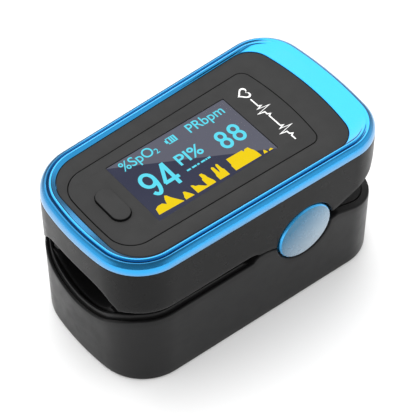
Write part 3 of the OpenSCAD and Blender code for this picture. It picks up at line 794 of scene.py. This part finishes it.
def upper_edge_line():
    rear = along_rear(16.6, 19.25, 9.85 / 23.4)
    arc = recess_arc(7.4, 181.6)
    seam = side_points([(1.4, 18.6), (0.2, 18.95), (-1.25, 19.05), (-1.9, 19.5)])
    arch = across_finger(10.75, ARCH)
    counts = [len(rear) - 1, 2, len(arc) - 2, len(seam) + 1, 1, len(arch) - 1]
    return rounded(np.vstack([rear, arc, seam, arch]), np.repeat([0, 0.3, 0, 0.4, 0.9, 0], counts))


def lower_edge_line():
    rear = along_rear(17, 17.3, -6.8 / 23)
    hump = side_points([(16, 17.15)])
    arc = recess_arc(-11.6, -175.6)
    seam = side_points([(1.3, 18.4), (0.1, 18.75), (-1.5, 18.75), (-2.7, 17.65)])
    scoop = across_finger(13.6, SCOOP)
    counts = [len(rear), 1, 1, len(arc) - 2, len(seam) + 1, 1, len(scoop) - 1]
    return rounded(np.vstack([rear, hump, arc, seam, scoop]), np.repeat([0, 0.4, 0.3, 0, 0.4, 0.8, 0], counts))


def by_place(line, rear, side, recess, front):
    """A value for each edge point, by where it is on the wall."""
    x = wall.x_of_s(np.mod(line[:, 0], wall.length))
    out = np.interp(x, [-29, -27, -3.2, -1, 25, 28.5], [front, side, side, recess, recess, rear])
    y = np.abs(wall.at(line[:, 0], 0)[:, 1])
    return np.where((x < -20) & (y < 11), front, out)


def make_upper_shell():
    line = closed_edge(upper_edge_line())
    m = edge_normals(line, True)
    depth = by_place(line, 2.6, 1.0, 0.3, 0.45)
    width = by_place(line, 1.1, 0.85, 0.3, 0.45)
    top = BEZEL_Z - 0.02
    outside = wall_face(line, into(line, m, depth), top, 0, FACE_STEPS[:0:-1])
    inside = wall_face(line, into(line, m, INNER_R), top, WALL, FACE_STEPS[1:])
    obj = loft("upper_shell_skin", outside + rolled_edge(line, m, depth, width) + inside, closed_rows=True)
    place(obj, "upper", "upper_half", "shell_black", "upper_shell")


def lower_shell_rings():
    line = closed_edge(lower_edge_line())
    m = edge_normals(line, False)
    rounding = by_place(line, 0.3, 0.25, 0.35, 0.4)
    s = line[:, 0]
    lip = np.interp(wall.x_of_s(np.mod(s, wall.length)), [-20, -4.5, -3.2], [1.0, 0.7, 0.0])
    bottom = [wall_ring(s, 0, FLOOR_INSET)]
    for a in np.radians(np.linspace(90, 0, 9))[:-1]:
        bottom.append(wall_ring(s, FOOT * (1 - math.sin(a)), FOOT * (1 - math.cos(a))))
    outside = wall_face(line, into(line, m, rounding), FOOT, 0, FACE_STEPS[1:])
    inside = wall_face(line, into(line, m, INNER_R), FLOOR_Z + FOOT, WALL, FACE_STEPS[1:-1])
    corner = ((FLOOR_Z + FOOT, WALL), (FLOOR_Z, WALL + FOOT), (FLOOR_Z, FLOOR_INSET))
    inside += [wall_ring(s, z, inset) for z, inset in corner]
    return bottom + outside[::-1] + rolled_edge(line, m, rounding, rounding, lip) + inside


def make_lower_shell():
    obj = loft("lower_shell_skin", lower_shell_rings())
    section = [(-10.7, -1), (10.7, -1), (10.7, 1.02), (11.4, 1.02), (11.4, 2.0), (-11.4, 2.0), (-11.4, 1.02),
               (-10.7, 1.02)]
    front, rear = door_lo[0] - 0.1, case_hi[0] + 5
    slot = loft("door_slot", [[(x, y, z) for y, z in section] for x in (front, rear)])
    lip = bevelled_box("lip_slot", (case_hi[0] - 1.85, -10.7, -1), (rear, 10.7, door_hi[2] + 0.1), 0.15)
    bore = [(1.25, -1), (1.25, 0.95), (0.7, 0.95), (0.7, 3)]
    holes = [
        lathe("hole", bore, (x, side * y, 0), (0, 0, 1), 28) for x, y in CASE_SCREWS_AT for side in (-1, 1)
    ]
    cut(obj, slot, lip, *holes)
    place(obj, "shell", "lower_half", "shell_black", "lower_shell")

# ---- bezel and panel

COUNTS = (22, 16, 40, 18, 24)
OUTLINES = {"case": CASE, "crest": CREST, "panel": PANEL, "overlay": OVERLAY}
LOOPS = {name: outline.loop(COUNTS) for name, outline in OUTLINES.items()}


def ring(which, inset, z):
    p, n = LOOPS[which]
    return at_z(p - inset * n, z)


def ring_rows(*places):
    return [ring(*at) for at in places]


def between(a, b, f):
    return a + (b - a) * f


# Inset from the crest and drop below it
VALLEY_AND_BEAD = ((-0.1, 0.3), (0.0, 0.26), (0.1, 0.26), (0.2, 0.32), (0.28, 0.45), (0.36, 0.58), (0.44, 0.64),
                   (0.5, 0.6), (0.55, 0.45), (0.59, 0.27), (0.65, 0.16), (0.74, 0.11), (0.89, 0.1), (1.03, 0.12),
                   (1.1, 0.19), (1.16, 0.32))
# Share of the way in from the case, and of the way up
BAND = ((0.03, 0.2), (0.08, 0.4), (0.17, 0.58), (0.3, 0.73), (0.46, 0.84), (0.64, 0.92), (0.83, 0.975))


def bead_ring(inset, drop):
    """A ring near the bezel's crest. The valley and bead fade out into one plain slope at the hinge end."""
    r = ring("crest", inset, 0)
    fade = np.clip((r[:, 0] - 20) / 6, 0, 1)
    plain = 0.24 + 0.1 * (inset + 0.1)
    r[:, 2] = CREST_Z - drop * (1 - fade) - plain * fade
    return r


def band_ring(f, h):
    """A ring on the bezel's outer band, f of the way in and h of the way up."""
    base, top = ring("case", 0.0, BEZEL_Z + 0.16), ring("crest", -0.1, CREST_Z - 0.3)
    r = between(base, top, f)
    r[:, 2] = base[0, 2] + (top[0, 2] - base[0, 2]) * h
    return r


def paint_bezel_shade(obj):
    """Sets the shade attribute: painted shade along the bezel's valley, and round the finger end a painted dark
    reflection over the valley's outer side and the top of the outer band, fading out downwards; all of it fades
    out at the hinge end.
    """
    weight = {}

    def near_finger(q):
        return np.clip((-13 - q[0]) / 9, 0, 1)

    # painted dark reflection: the outer band's top round the finger end, fading out downwards
    for f, h in BAND:
        for q in band_ring(f, h):
            weight[tuple(np.round(q, 3))] = np.interp(f, (0.2, 1.0), (0, 0.6)) * near_finger(q)
    # painted shade along the valley, and round the finger end over its outer side
    for inset, drop in VALLEY_AND_BEAD:
        valley_shade = np.interp(inset, (0.15, 0.34, 0.5, 0.62), (0, 1, 1, 0))
        for q in bead_ring(inset, drop):
            front = near_finger(q) * (0.75 if inset < 0.5 else 0)
            weight[tuple(np.round(q, 3))] = max(valley_shade, front) * np.clip((27 - q[0]) / 7, 0, 1)
    layer = obj.data.attributes.new("shade", "FLOAT", "POINT")
    for v in obj.data.vertices:
        layer.data[v.index].value = weight.get(tuple(round(c / MM, 3) for c in v.co), 0.0)


def make_bezel():
    rows = ring_rows(("case", 0.35, BEZEL_Z), ("case", 0.12, BEZEL_Z), ("case", 0.03, BEZEL_Z + 0.05),
                     ("case", 0.0, BEZEL_Z + 0.16))
    rows += [band_ring(*at) for at in BAND]
    rows += [bead_ring(*at) for at in VALLEY_AND_BEAD]
    start, end = rows[-1], ring("panel", -0.12, PANEL_Z + 0.06)
    rows += [between(start, end, f) for f in (0.12, 0.3, 0.5, 0.7, 0.86, 0.95, 1)]
    rows += ring_rows(("panel", -0.05, PANEL_Z + 0.02), ("panel", -0.02, PANEL_Z - 0.08),
                      ("panel", -0.02, panel_lo[2]), ("panel", 1.2, panel_lo[2]), ("panel", 1.2, BEZEL_Z),
                      ("case", 2.4, BEZEL_Z), ("case", 2.4, bezel_lo[2]), ("case", 1.56, bezel_lo[2]),
                      ("case", 1.56, BEZEL_Z))
    obj = loft("bezel_skin", rows, closed_rows=True, sharp=50)
    paint_bezel_shade(obj)
    place(obj, "blue", "upper_half", "bezel_blue", "bezel_ring")


def make_panel():
    """The panel, its overlay, the window's glass, and the dark face under it, whose height is given back."""
    lo, hi, under = panel_lo[2], PANEL_Z, overlay_lo[2]
    rows = ring_rows(("panel", 0.06, lo), ("panel", 0.06, hi - 0.14), ("panel", 0.1, hi - 0.04),
                     ("panel", 0.2, hi), ("overlay", -0.16, hi), ("overlay", -0.06, hi - 0.03),
                     ("overlay", -0.02, hi - 0.12), ("overlay", -0.02, under), ("overlay", 1.0, under),
                     ("overlay", 1.0, lo))
    panel = loft("top_panel_skin", rows, closed_rows=True)
    place(panel, "panel", "upper_half", "panel_black", "top_panel")

    gap, corner_r = 0.05, 0.2
    outer = ring("overlay", 0.16, hi)[:, :2]
    window = rectangle(lens_lo[0] - gap, lens_hi[0] + gap, lens_lo[1] - gap, lens_hi[1] + gap)
    hole = stadium(BUTTON_X, 0, KEY_HALF[0] + 0.16, KEY_HALF[1] + 0.16)
    over = plate("panel_overlay_skin", [outer, rounded_loop(window, corner_r), hole], under + 0.02, hi, 0.05)
    place(over, "panel", "upper_half", "panel_black", "panel_overlay")

    pane = rounded_loop(rectangle(lens_lo[0], lens_hi[0], lens_lo[1], lens_hi[1]), corner_r)
    glass = plate("display_lens_skin", [pane], lens_hi[2] - 0.12, lens_hi[2] + 0.03, 0.03)
    place(glass, "lens", "upper_half", "lens_smoke", "display_lens")
    face_z = lens_hi[2] - 0.17
    face = plate("display_face_plate", [pane], under + 0.02, face_z, 0.02)
    place(face, "display", "upper_half", "display_glass")
    return face_z


def oval(name, cx, cy, rx, ry, w, z0, z1):
    """A flat ring of stroke width w."""
    a = np.arange(48) * 2 * math.pi / 48

    def loop(grow, z):
        return at_z(np.stack([cx + (rx + grow) * np.cos(a), cy + (ry + grow) * np.sin(a)], 1), z)

    return loft(name, [loop(w / 2, z0), loop(w / 2, z1), loop(-w / 2, z1), loop(-w / 2, z0)], closed_rows=True)


def digit_nine(x0, x1, y0, y1, w, z0, z1):
    h = w / 2
    cx, rx = (x0 + x1) / 2, (x1 - x0) / 2 - h
    ry = (y1 - y0) * 0.29 - h / 2
    cy = y1 - h - ry
    a = np.radians(np.linspace(0, -128, 26))
    tail = np.stack([cx + rx * np.cos(a), cy + (cy - y0 - h) * np.sin(a)], 1)
    return [oval("nine", cx, cy, rx, ry, w, z0, z1), stroke("nine_tail", tail, w, z0, z1)]


def digit_four(x0, x1, y0, y1, w, z0, z1):
    stem = x1 - (x1 - x0) * 0.27
    bar = y0 + (y1 - y0) * 0.27
    return [
        stroke("four_stem", [(stem, y0), (stem, y1 - 0.02)], w, z0, z1),
        stroke("four_bar", [(x0 + w * 0.3, bar), (x1, bar)], w, z0, z1),
        stroke("four_slope", [(x0 + w * 0.48, bar - 0.06), (stem - w * 0.12, y1 - w * 0.3)], w * 0.94, z0, z1),
    ]


def digit_eight(x0, x1, y0, y1, w, z0, z1):
    h = w / 2
    cx, rx = (x0 + x1) / 2, (x1 - x0) / 2 - h
    waist = y0 + (y1 - y0) * 0.52
    up, low = (y1 - h - waist) / 2, (waist - y0 - h) / 2
    return [oval("eight_top", cx, waist + up, rx * 0.9, up, w, z0, z1),
            oval("eight_low", cx, waist - low, rx, low, w, z0, z1)]


WORDS = (
    ("%SpO", (-14.35, -7.45, 4.3, 7.15), 0.004),
    ("2", (-7.3, -6.55, 4.75, 5.95), 0.004),
    ("PRbpm", (0.42, 8.35, 4.15, 6.95), 0.004),
    ("PI%", (-5.72, -0.45, -0.2, 2.42), 0.012),
)
DIGITS = (
    (digit_nine, (-14.04, -10.93, -3.1, 2.67), 0.73),
    (digit_four, (-10.67, -7.33, -3.1, 2.67), 0.73),
    (digit_eight, (2.67, 5.07, -2.29, 2.07), 0.62),
    (digit_eight, (5.55, 8.0, -2.29, 2.07), 0.62),
)
DASHES = ((-5.7, -4.9), (-4.55, -3.6), (-3.4, -2.95), (-2.55, -1.7), (-1.55, -1.25), (-1.1, -0.5))
CELL_SYMBOL = (
    (-4.55, -4.2, 5.5, 6.25),
    (-4.2, -2.3, 5.1, 5.25),
    (-4.2, -2.3, 6.45, 6.6),
    (-4.2, -4.06, 5.25, 6.45),
    (-3.6, -3.3, 5.25, 6.45),
    (-3.12, -2.82, 5.25, 6.45),
    (-2.64, -2.34, 5.25, 6.45),
    (-2.42, -2.28, 5.25, 6.45),
)
PULSE_GRAPH = (
    ((-15.6, -6.45), (-15.3, -5.1), (-14.6, -4.75), (-13.7, -4.75), (-13.1, -5.4), (-12.8, -4.4), (-12.35, -3.6),
     (-12.0, -3.8), (-11.6, -4.7), (-10.3, -6.7)),
    ((-9.9, -6.7), (-9.85, -6.1), (-9.6, -5.7), (-9.35, -5.0), (-9.0, -5.1), (-8.4, -6.1), (-8.1, -6.75)),
    ((-7.4, -6.8), (-7.4, -4.7), (-7.0, -4.9), (-6.8, -5.3), (-6.2, -5.5), (-5.4, -6.3), (-5.0, -6.5),
     (-5.0, -4.9), (-4.75, -4.7), (-4.7, -3.7), (-4.2, -3.7), (-3.9, -4.4), (-3.85, -5.0), (-3.4, -6.3),
     (-3.4, -6.85)),
    ((-2.5, -6.9), (-2.5, -5.9), (-2.3, -5.3), (-2.2, -3.9), (-1.9, -3.7), (-1.65, -4.0), (-1.55, -5.6),
     (-1.3, -5.1), (-1.15, -3.9), (-0.9, -3.6), (-0.65, -3.8), (-0.6, -5.0), (-0.4, -5.4), (-0.4, -6.95)),
    ((1.0, -7.0), (1.0, -5.7), (1.2, -5.4), (1.25, -3.9), (4.7, -4.0), (4.85, -4.5), (5.2, -4.1), (6.0, -4.1),
     (6.2, -4.8), (6.45, -5.2), (6.6, -5.9), (6.7, -7.1)),
    ((7.3, -7.1), (7.5, -6.7), (7.75, -6.3), (8.0, -6.7), (8.1, -7.15)),
    ((8.4, -7.15), (8.6, -6.8), (8.75, -6.9), (8.9, -6.7), (9.1, -6.8), (9.3, -7.2)),
)


def make_readout(z):
    """The lit figures, as thin solids on the display's face."""
    z0, z1 = z + 0.002, z + 0.03
    lit = [lettering("words", text, *box, z0, z1, bold) for text, box, bold in WORDS]
    for draw, box, w in DIGITS:
        lit += draw(*box, w, z0, z1)
    boxes = [(*dash, -1.85, -1.5) for dash in DASHES] + list(CELL_SYMBOL)
    lit += [flat_shape("box", rectangle(*box), z0, z1) for box in boxes]
    place(joined("readout_figures", lit), "cyan", "upper_half", "display_glass")
    bars = [flat_shape("pulse", shape, z0, z1) for shape in PULSE_GRAPH]
    place(joined("readout_pulse_graph", bars), "yellow", "upper_half", "display_glass")


# Distance along the trace, and height above its line as a share of the beat's height
BEAT = ((0, 0), (2.1, 0), (2.35, 0.3), (2.65, -0.35), (3.1, 1.1), (3.65, -0.8), (3.95, 0), (4.6, 0), (4.9, 0.32),
        (5.2, 0))


def make_mark():
    """A plain printed pulse trace with a heart, in place of the word on the panel."""
    z0, z1 = PANEL_Z - 0.01, PANEL_Z + 0.035
    line_x, beat_height = 13.75, 1.6
    trace = [(line_x + beat_height * rise, start - along) for start in (4.3, -1.8) for along, rise in BEAT]
    trace.append((line_x, -8.1))
    parts = [stroke("trace", trace, 0.27, z0, z1)]
    heart_x, heart_y = line_x - 0.1, 6.15
    t = np.linspace(0, 2 * math.pi, 40)[:-1]
    hx, hy = 16 * np.sin(t) ** 3, 13 * np.cos(t) - 5 * np.cos(2 * t) - 2 * np.cos(3 * t) - np.cos(4 * t)
    outer = np.stack([heart_x + hy * 0.085, heart_y - hx * 0.085], 1)
    inner = np.stack([heart_x + (hy + 0.6) * 0.058, heart_y - hx * 0.062], 1)
    rows = [at_z(outer, z0), at_z(outer, z1), at_z(inner, z1), at_z(inner, z0)]
    parts.append(loft("heart", rows, closed_rows=True))
    place(joined("printed_pulse_mark", parts), "ink", "upper_half", "white_plastic")


def make_button():
    top, low = button_hi[2], button_lo[2]
    rim = 0.07
    shoulder = top - rim - 0.01

    def key_ring(inset, z):
        return at_z(stadium(BUTTON_X, 0, *KEY_HALF, inset), z)

    rows = [key_ring(0.5, low + 0.4), key_ring(0.0, low + 0.9), key_ring(0.0, shoulder)]
    for a in np.radians([15, 35, 55, 75, 90]):
        rows.append(key_ring(rim * (1 - math.cos(a)), top - rim * (1 - math.sin(a))))
    dish = ((0.4, 0.0), (0.8, 0.01), (1.2, 0.02), (1.6, 0.03))
    rows += [key_ring(inset, top - drop) for inset, drop in dish]
    cap = loft("power_button_cap", rows, sharp=60)
    flange = loft("flange", [at_z(stadium(BUTTON_X, 0, *FLANGE_HALF), z) for z in (low + 0.33, low + 0.83)])
    post = lathe("post", [(1.2, 0), (1.2, 0.36)], (BUTTON_X, 0, low), (0, 0, 1), 24)
    key = joined("power_button_key", [cap, flange, post])
    place(key, "button", "button", "panel_black", "power_button")
    # painted shade: a near-black sleeve over the key's side wall, standing in for the shade in the gap round the
    # key
    outside = ((-0.03, low + 0.9), (-0.03, shoulder - 0.02), (0.01, shoulder))
    inside = ((0.2, shoulder), (0.2, low + 0.9))
    gap_shade = loft("power_button_gap_shade", [key_ring(*at) for at in outside + inside], closed_rows=True)
    place(gap_shade, "pad", "button", "panel_black")


def make_pivot_cap(sign, node):
    """A flat side disc with a bevelled rim, on a stub that reaches into the case."""
    base = 15.3
    face = cap_hi[1] - base
    profile = [(2.6, -0.65), (2.6, 0), (CAP_R, 0), (CAP_R, face - 0.42), (CAP_R - 0.04, face - 0.33),
               (CAP_R - 0.24, face - 0.1), (CAP_R - 0.32, face - 0.06), (CAP_R - 0.5, face - 0.04)]
    profile += [(r, face - 0.04 * (r / 5.3) ** 2) for r in (5.0, 4.4, 3.6, 2.6, 1.6, 0.8, 0)]
    name = "pivot_disc_" + ("left" if sign < 0 else "right")
    obj = lathe(name, profile, (PIVOT[0], sign * base, PIVOT[2]), (0, sign, 0), 128, 30)
    place(obj, "cap", "lower_half", "cap_blue", node)

# ---- linings, door, cells, springs, cable


def make_pad(name, lo, hi, lower):
    """A soft channel lining with a lip at the mouth and a rounded stop at its inner end."""
    r_in, r_out = 9.5, 10.5
    axis_z = lo[2] + r_out if lower else hi[2] - r_out
    edge = (axis_z - hi[2]) if lower else (lo[2] - axis_z)
    a_in, a_out = math.acos(edge / r_in), math.acos(edge / r_out)
    x0, x1 = lo[0], hi[0]
    xs = [(x0, 0.0), (x0 + 0.15, 0.16), (x0 + 0.5, 0.2), (x0 + 1.0, 0.1), (x0 + 1.6, 0)]
    xs += [(x, 0.0) for x in np.linspace(x0 + 3, x1 - 2.2, 16)]
    xs += [(x1 - 1.5, 0.05), (x1 - 0.9, 0.2), (x1 - 0.4, 0.42), (x1, 0.75)]
    up = np.linspace(-1, 1, 40)
    rows = []
    for x, lift in xs:
        r = r_in - lift * 0.6
        inner = np.stack([r * np.sin(up * a_in), -r * np.cos(up * a_in)], 1)
        outer = np.stack([r_out * np.sin(-up * a_out), -r_out * np.cos(-up * a_out)], 1)
        loop = np.vstack([inner, outer])
        z = np.minimum(axis_z + loop[:, 1], hi[2]) if lower else np.maximum(axis_z - loop[:, 1], lo[2])
        rows.append(np.column_stack([np.full(len(loop), x), loop[:, 0], z]))
    return loft(name, rows)


def make_pads():
    for name, node, lo, hi, lower, body, window in (
        ("lower_lining", "lower_pad", lower_pad_lo, lower_pad_hi, True, "lower_half", "receiver_window"),
        ("upper_lining", "upper_pad", upper_pad_lo, upper_pad_hi, False, "upper_half", "emitter_window"),
    ):
        obj = make_pad(name, lo, hi, lower)
        wlo, whi = box_mm(window)
        grow = (0.02, 0.02, 2)
        cut(obj, bevelled_box("hole", wlo - grow, whi + grow, 0.3, 3))
        place(obj, "pad", body, "pad_silicone", node)
        pane = bevelled_box(window + "_pane", wlo, whi, 0.2, 3)
        place(pane, "window", body, "clear_window", window)


def make_door():
    """The battery door: a plate with a lip at the hinge end, grip grooves and side tongues."""
    hub, r, _, _ = CASE.arcs[0]
    y = np.linspace(-10.6, 10.6, 45)
    front, z0, z_lip = door_lo[0], door_lo[2], door_hi[2]
    inner_x, top = case_hi[0] - 1.7, 1.75
    groove_x, groove_pitch = 25.8, 1.6
    groove = 0.3 * np.clip((5.2 - np.abs(y)) / 0.5, 0, 1)

    def row(x, z):
        return np.column_stack([np.broadcast_to(x, y.shape), y, np.broadcast_to(z, y.shape)])

    def x_at(inset):
        return hub[0] + np.sqrt((r - inset) ** 2 - y**2)

    rows = [row(x_at(0.0), z) for z in np.linspace(z_lip - 0.15, FOOT, 6)]
    for a in np.linspace(0, math.asin(1 - z0 / FOOT), 5)[1:]:
        rows.append(row(x_at(FOOT * (1 - math.cos(a))), FOOT * (1 - math.sin(a))))
    rows.append(row(groove_x + 0.8, z0))
    for k in range(5):
        c = groove_x - groove_pitch * k
        for x, deep in ((c + 0.45, 0), (c + 0.25, groove), (c - 0.25, groove), (c - 0.45, 0)):
            rows.append(row(x, z0 + deep))
    rows += [row(x, z0) for x in (16, 10, 4, -4, -12, -20, front + 0.15)]
    rows += [row(front, z0 + 0.15), row(front, top - 0.15), row(front + 0.15, top), row(inner_x - 0.3, top),
             row(inner_x, top + 0.3), row(inner_x, z_lip - 0.15)]
    rows += [row(np.minimum(inner_x + 0.15, x_at(0.1)), z_lip), row(x_at(0.15), z_lip)]
    parts = [bar("door_plate", rows, 30)]
    for y0, y1 in ((-11.3, -10.5), (10.5, 11.3)):
        parts.append(bevelled_box("tongue", (front, y0, 0.97), (26.5, y1, 1.73), 0.08))
    parts.append(stroke("door_arrow", [(9.2, -2.4), (12, 0), (9.2, 2.4)], 0.5, z0 - 0.02, z0 + 0.1))
    place(joined("battery_door_skin", parts), "shell", "door", "shell_black", "battery_door")


def make_cell(node, nub_rear):
    """A round cell: a metal can with a nub, in a jacket of two colours."""
    lo, hi = box_mm(node)
    r = (hi[1] - lo[1]) / 2
    can = hi[0] - lo[0] - 1.0
    origin = (lo[0] if nub_rear else hi[0], (lo[1] + hi[1]) / 2, (lo[2] + hi[2]) / 2)
    axis = (1 if nub_rear else -1, 0, 0)
    seam, core = can * 0.72, 4.97
    metal = [(0, 0.12), (2.6, 0.12), (3.0, 0.0), (4.6, 0.0), (4.9, 0.15), (4.95, 0.5), (4.95, can - 0.5),
             (4.8, can - 0.15), (4.4, can), (2.3, can), (2.3, can + 0.2), (1.9, can + 0.35), (1.9, can + 0.8),
             (1.7, can + 1.0), (0, can + 1.0)]
    layers = (
        ("_can", "can", metal),
        ("_jacket", "jacket", [(core, 0.55), (r - 0.04, 0.5), (r, 0.65), (r, seam), (core, seam)]),
        ("_band", "jacket_band", [(core, seam), (r, seam), (r, can - 0.45), (r - 0.1, can - 0.12),
                                  (3.2, can + 0.02), (3.1, can + 0.01)]),
    )
    for ending, look, profile in layers:
        obj = lathe(node + ending, profile, origin, axis, 64)
        place(obj, look, "lower_half", "cell_jacket", *([node] if ending == "_can" else []))


def make_springs():
    """Two torsion springs round the rod, each with a leg on the lower frame and a leg on the upper one."""
    coil_r, turns = 2.25, 3.5
    low_end, high_end = (22, 16.3), (22.6, 21.6)
    for node in ("torsion_spring_left", "torsion_spring_right"):
        lo, hi = box_mm(node)
        r = 0.35
        y_in, y_out = (lo[1] + r, hi[1] - r) if hi[1] > 0 else (hi[1] - r, lo[1] + r)
        f = np.linspace(0, 1, 130)
        a = np.radians(-90 - 360 * turns * f)
        coil_y = y_in + (y_out - y_in) * f
        coil = np.stack([PIVOT[0] + coil_r * np.cos(a), coil_y, PIVOT[2] + coil_r * np.sin(a)], 1)
        low_leg = np.linspace((low_end[0], y_in, low_end[1]), coil[0], 15)[:-1]
        high_leg = np.linspace(coil[-1], (high_end[0], y_out, high_end[1]), 15)[1:]
        wire = sweep(node + "_wire", np.vstack([low_leg, coil, high_leg]), r, 14)
        wear(wire, "wire")
        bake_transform(wire)
        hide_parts(node)


def make_cable():
    """The flat cable, up from the receiver board and over to the main board."""
    lo, hi = box_mm("flex_cable")
    riser_x, top_z = 7.0, 25.0
    start_z = lo[2] + 0.1
    corners = [(lo[0], 0, start_z), (riser_x, 0, start_z), (riser_x, 0, top_z), (hi[0], 0, top_z)]
    strip = ribbon("flex_cable_strip", spaced(rounded(corners, 1.0, 8), 0.5), (hi[1] - lo[1]) / 2, 0.09)
    wear(strip, "film")
    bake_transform(strip)
    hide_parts("flex_cable")

# ---- CAD nodes that stay


def finish_cad(node, look, bevel):
    """Dresses a CAD part that stays, and softens its edges."""
    o = frame["nodes"][node]
    wear(o, look)
    weld = o.modifiers.new("weld", "WELD")
    weld.merge_threshold = 2e-6
    if bevel:
        b = o.modifiers.new("bevel", "BEVEL")
        b.width, b.segments, b.limit_method, b.angle_limit = bevel * MM, 2, "ANGLE", math.radians(50)
        b.use_clamp_overlap = True
    n = o.modifiers.new("normals", "WEIGHTED_NORMAL")
    n.keep_sharp = False


make_upper_shell()
make_lower_shell()
make_bezel()
make_readout(make_panel())
make_mark()
make_button()
make_pivot_cap(-1, "pivot_cap_left")
make_pivot_cap(1, "pivot_cap_right")
make_pads()
make_door()
make_cell("battery_cell_left", True)
make_cell("battery_cell_right", False)
make_springs()
make_cable()

# The look and the bevel of each CAD part that stays
KEPT = {
    "lower_frame": ("frame", 0.12), "upper_frame": ("frame", 0.12), "photodiode": ("die", 0.08),
    "receiver_board": ("film", 0.02), "bridge_contact": ("nickel", 0), "negative_contact": ("nickel", 0),
    "positive_contact": ("nickel", 0.05), "case_screws": ("steel", 0.04), "hinge_rod": ("steel", 0.1),
    "display_gasket": ("foam", 0.05), "display_module": ("glass_dark", 0.06),
    "display_holder": ("white", 0.08), "display_flex": ("film", 0.02), "main_board": ("board", 0.05),
    "board_screws": ("steel", 0.04), "processor_chip": ("chip", 0.03), "amplifier_chip": ("chip", 0.03),
    "crystal": ("can", 0.12), "power_inductor": ("ferrite", 0.08), "capacitors": ("tan", 0.06),
    "cable_socket": ("cream", 0.06), "button_switch": ("can", 0.08), "switch_plunger": ("chip", 0.08),
    "emitter_led": ("led", 0.08), "emitter_board": ("board", 0.04), "jaw_screws": ("steel", 0.04),
}
for node, (look, bevel) in KEPT.items():
    finish_cad(node, look, bevel)

# ---- stage, lights and camera


def stage_floor():
    size = 3.0
    mesh = bpy.data.meshes.new("floor")
    mesh.from_pydata([(*at, 0) for at in rectangle(-size, size, -size, size)], [], [(0, 1, 2, 3)])
    paper, _ = new_material("floor_paper")
    mesh.materials.append(finished(paper, "BsdfDiffuse", {"Color": (0.93, 0.93, 0.93, 1)}))
    floor = linked("floor", mesh)


def fill_light(name, at, size, power):
    """A large diffuse light that lifts the shadows and isn't seen in gloss."""
    data = bpy.data.lights.new(name, "AREA")
    data.shape = "RECTANGLE"
    data.size, data.size_y = size
    data.energy = power
    obj = linked(name, data)
    obj.location = at
    obj.rotation_mode = "QUATERNION"
    obj.rotation_quaternion = (Vector((0, 0, 0.016)) - Vector(at)).to_track_quat("-Z", "Y")
    obj.visible_glossy = False


def toward(tree, direction):
    """How nearly the world's direction points along the given one, from -1 to 1."""
    where = add(tree, "TexCoord", {}).outputs["Generated"]
    sockets = {0: where, 1: Vector(direction).normalized()}
    return add(tree, "VectorMath", sockets, operation="DOT_PRODUCT").outputs["Value"]


ROOM_LEVEL = 0.36
# Direction, how nearly it is met at the light's edge and at its full core, and its level
ROOM_LIGHTS = (
    ((0.25, 0.55, 0.80), 0.83, 0.93, 2.2),
    ((-0.78, 0.62, 0.25), 0.55, 0.95, 0.9),
    ((0.78, -0.62, 0.25), 0.55, 0.95, 0.6),
)


def make_studio():
    """An even grey room, with a large soft source high behind the object and two weaker ones at its sides."""
    world = bpy.data.worlds.new("studio")
    bpy.context.scene.world = world
    world.use_nodes = True
    t = world.node_tree
    total = ROOM_LEVEL
    for direction, edge, core, level in ROOM_LIGHTS:
        part = ranged(t, toward(t, direction), 0, level, edge, core)
        part.node.interpolation_type = "SMOOTHSTEP"
        total = add(t, "Math", {0: total, 1: part}).outputs["Value"]
    background = t.nodes["Background"]
    background.inputs["Color"].default_value = (1, 1, 1, 1)
    t.links.new(total, background.inputs["Strength"])


def make_camera():
    """A long lens at the photo's viewing angle."""
    camera = bpy.data.cameras.new("camera")
    camera.lens, camera.sensor_width = 151.57, 36
    camera.clip_start, camera.clip_end = 0.01, 20
    azimuth, tilt = math.radians(39.17), math.radians(50.036)
    ahead = Vector((math.sin(azimuth) * math.cos(tilt), math.cos(azimuth) * math.cos(tilt), -math.sin(tilt)))
    obj = linked("camera", camera)
    obj.location = (-0.129701, -0.159629, 0.261509)
    obj.rotation_mode = "QUATERNION"
    obj.rotation_quaternion = ahead.to_track_quat("-Z", "Y")
    bpy.context.scene.camera = obj


stage_floor()
make_studio()
fill_light("top_fill", (0, 0, 0.9), (1.8, 1.8), 10.5)
fill_light("front_fill", (-0.55, -0.65, 0.5), (0.9, 0.6), 1.5)
make_camera()
bpy.context.scene.view_settings.view_transform = "Standard"
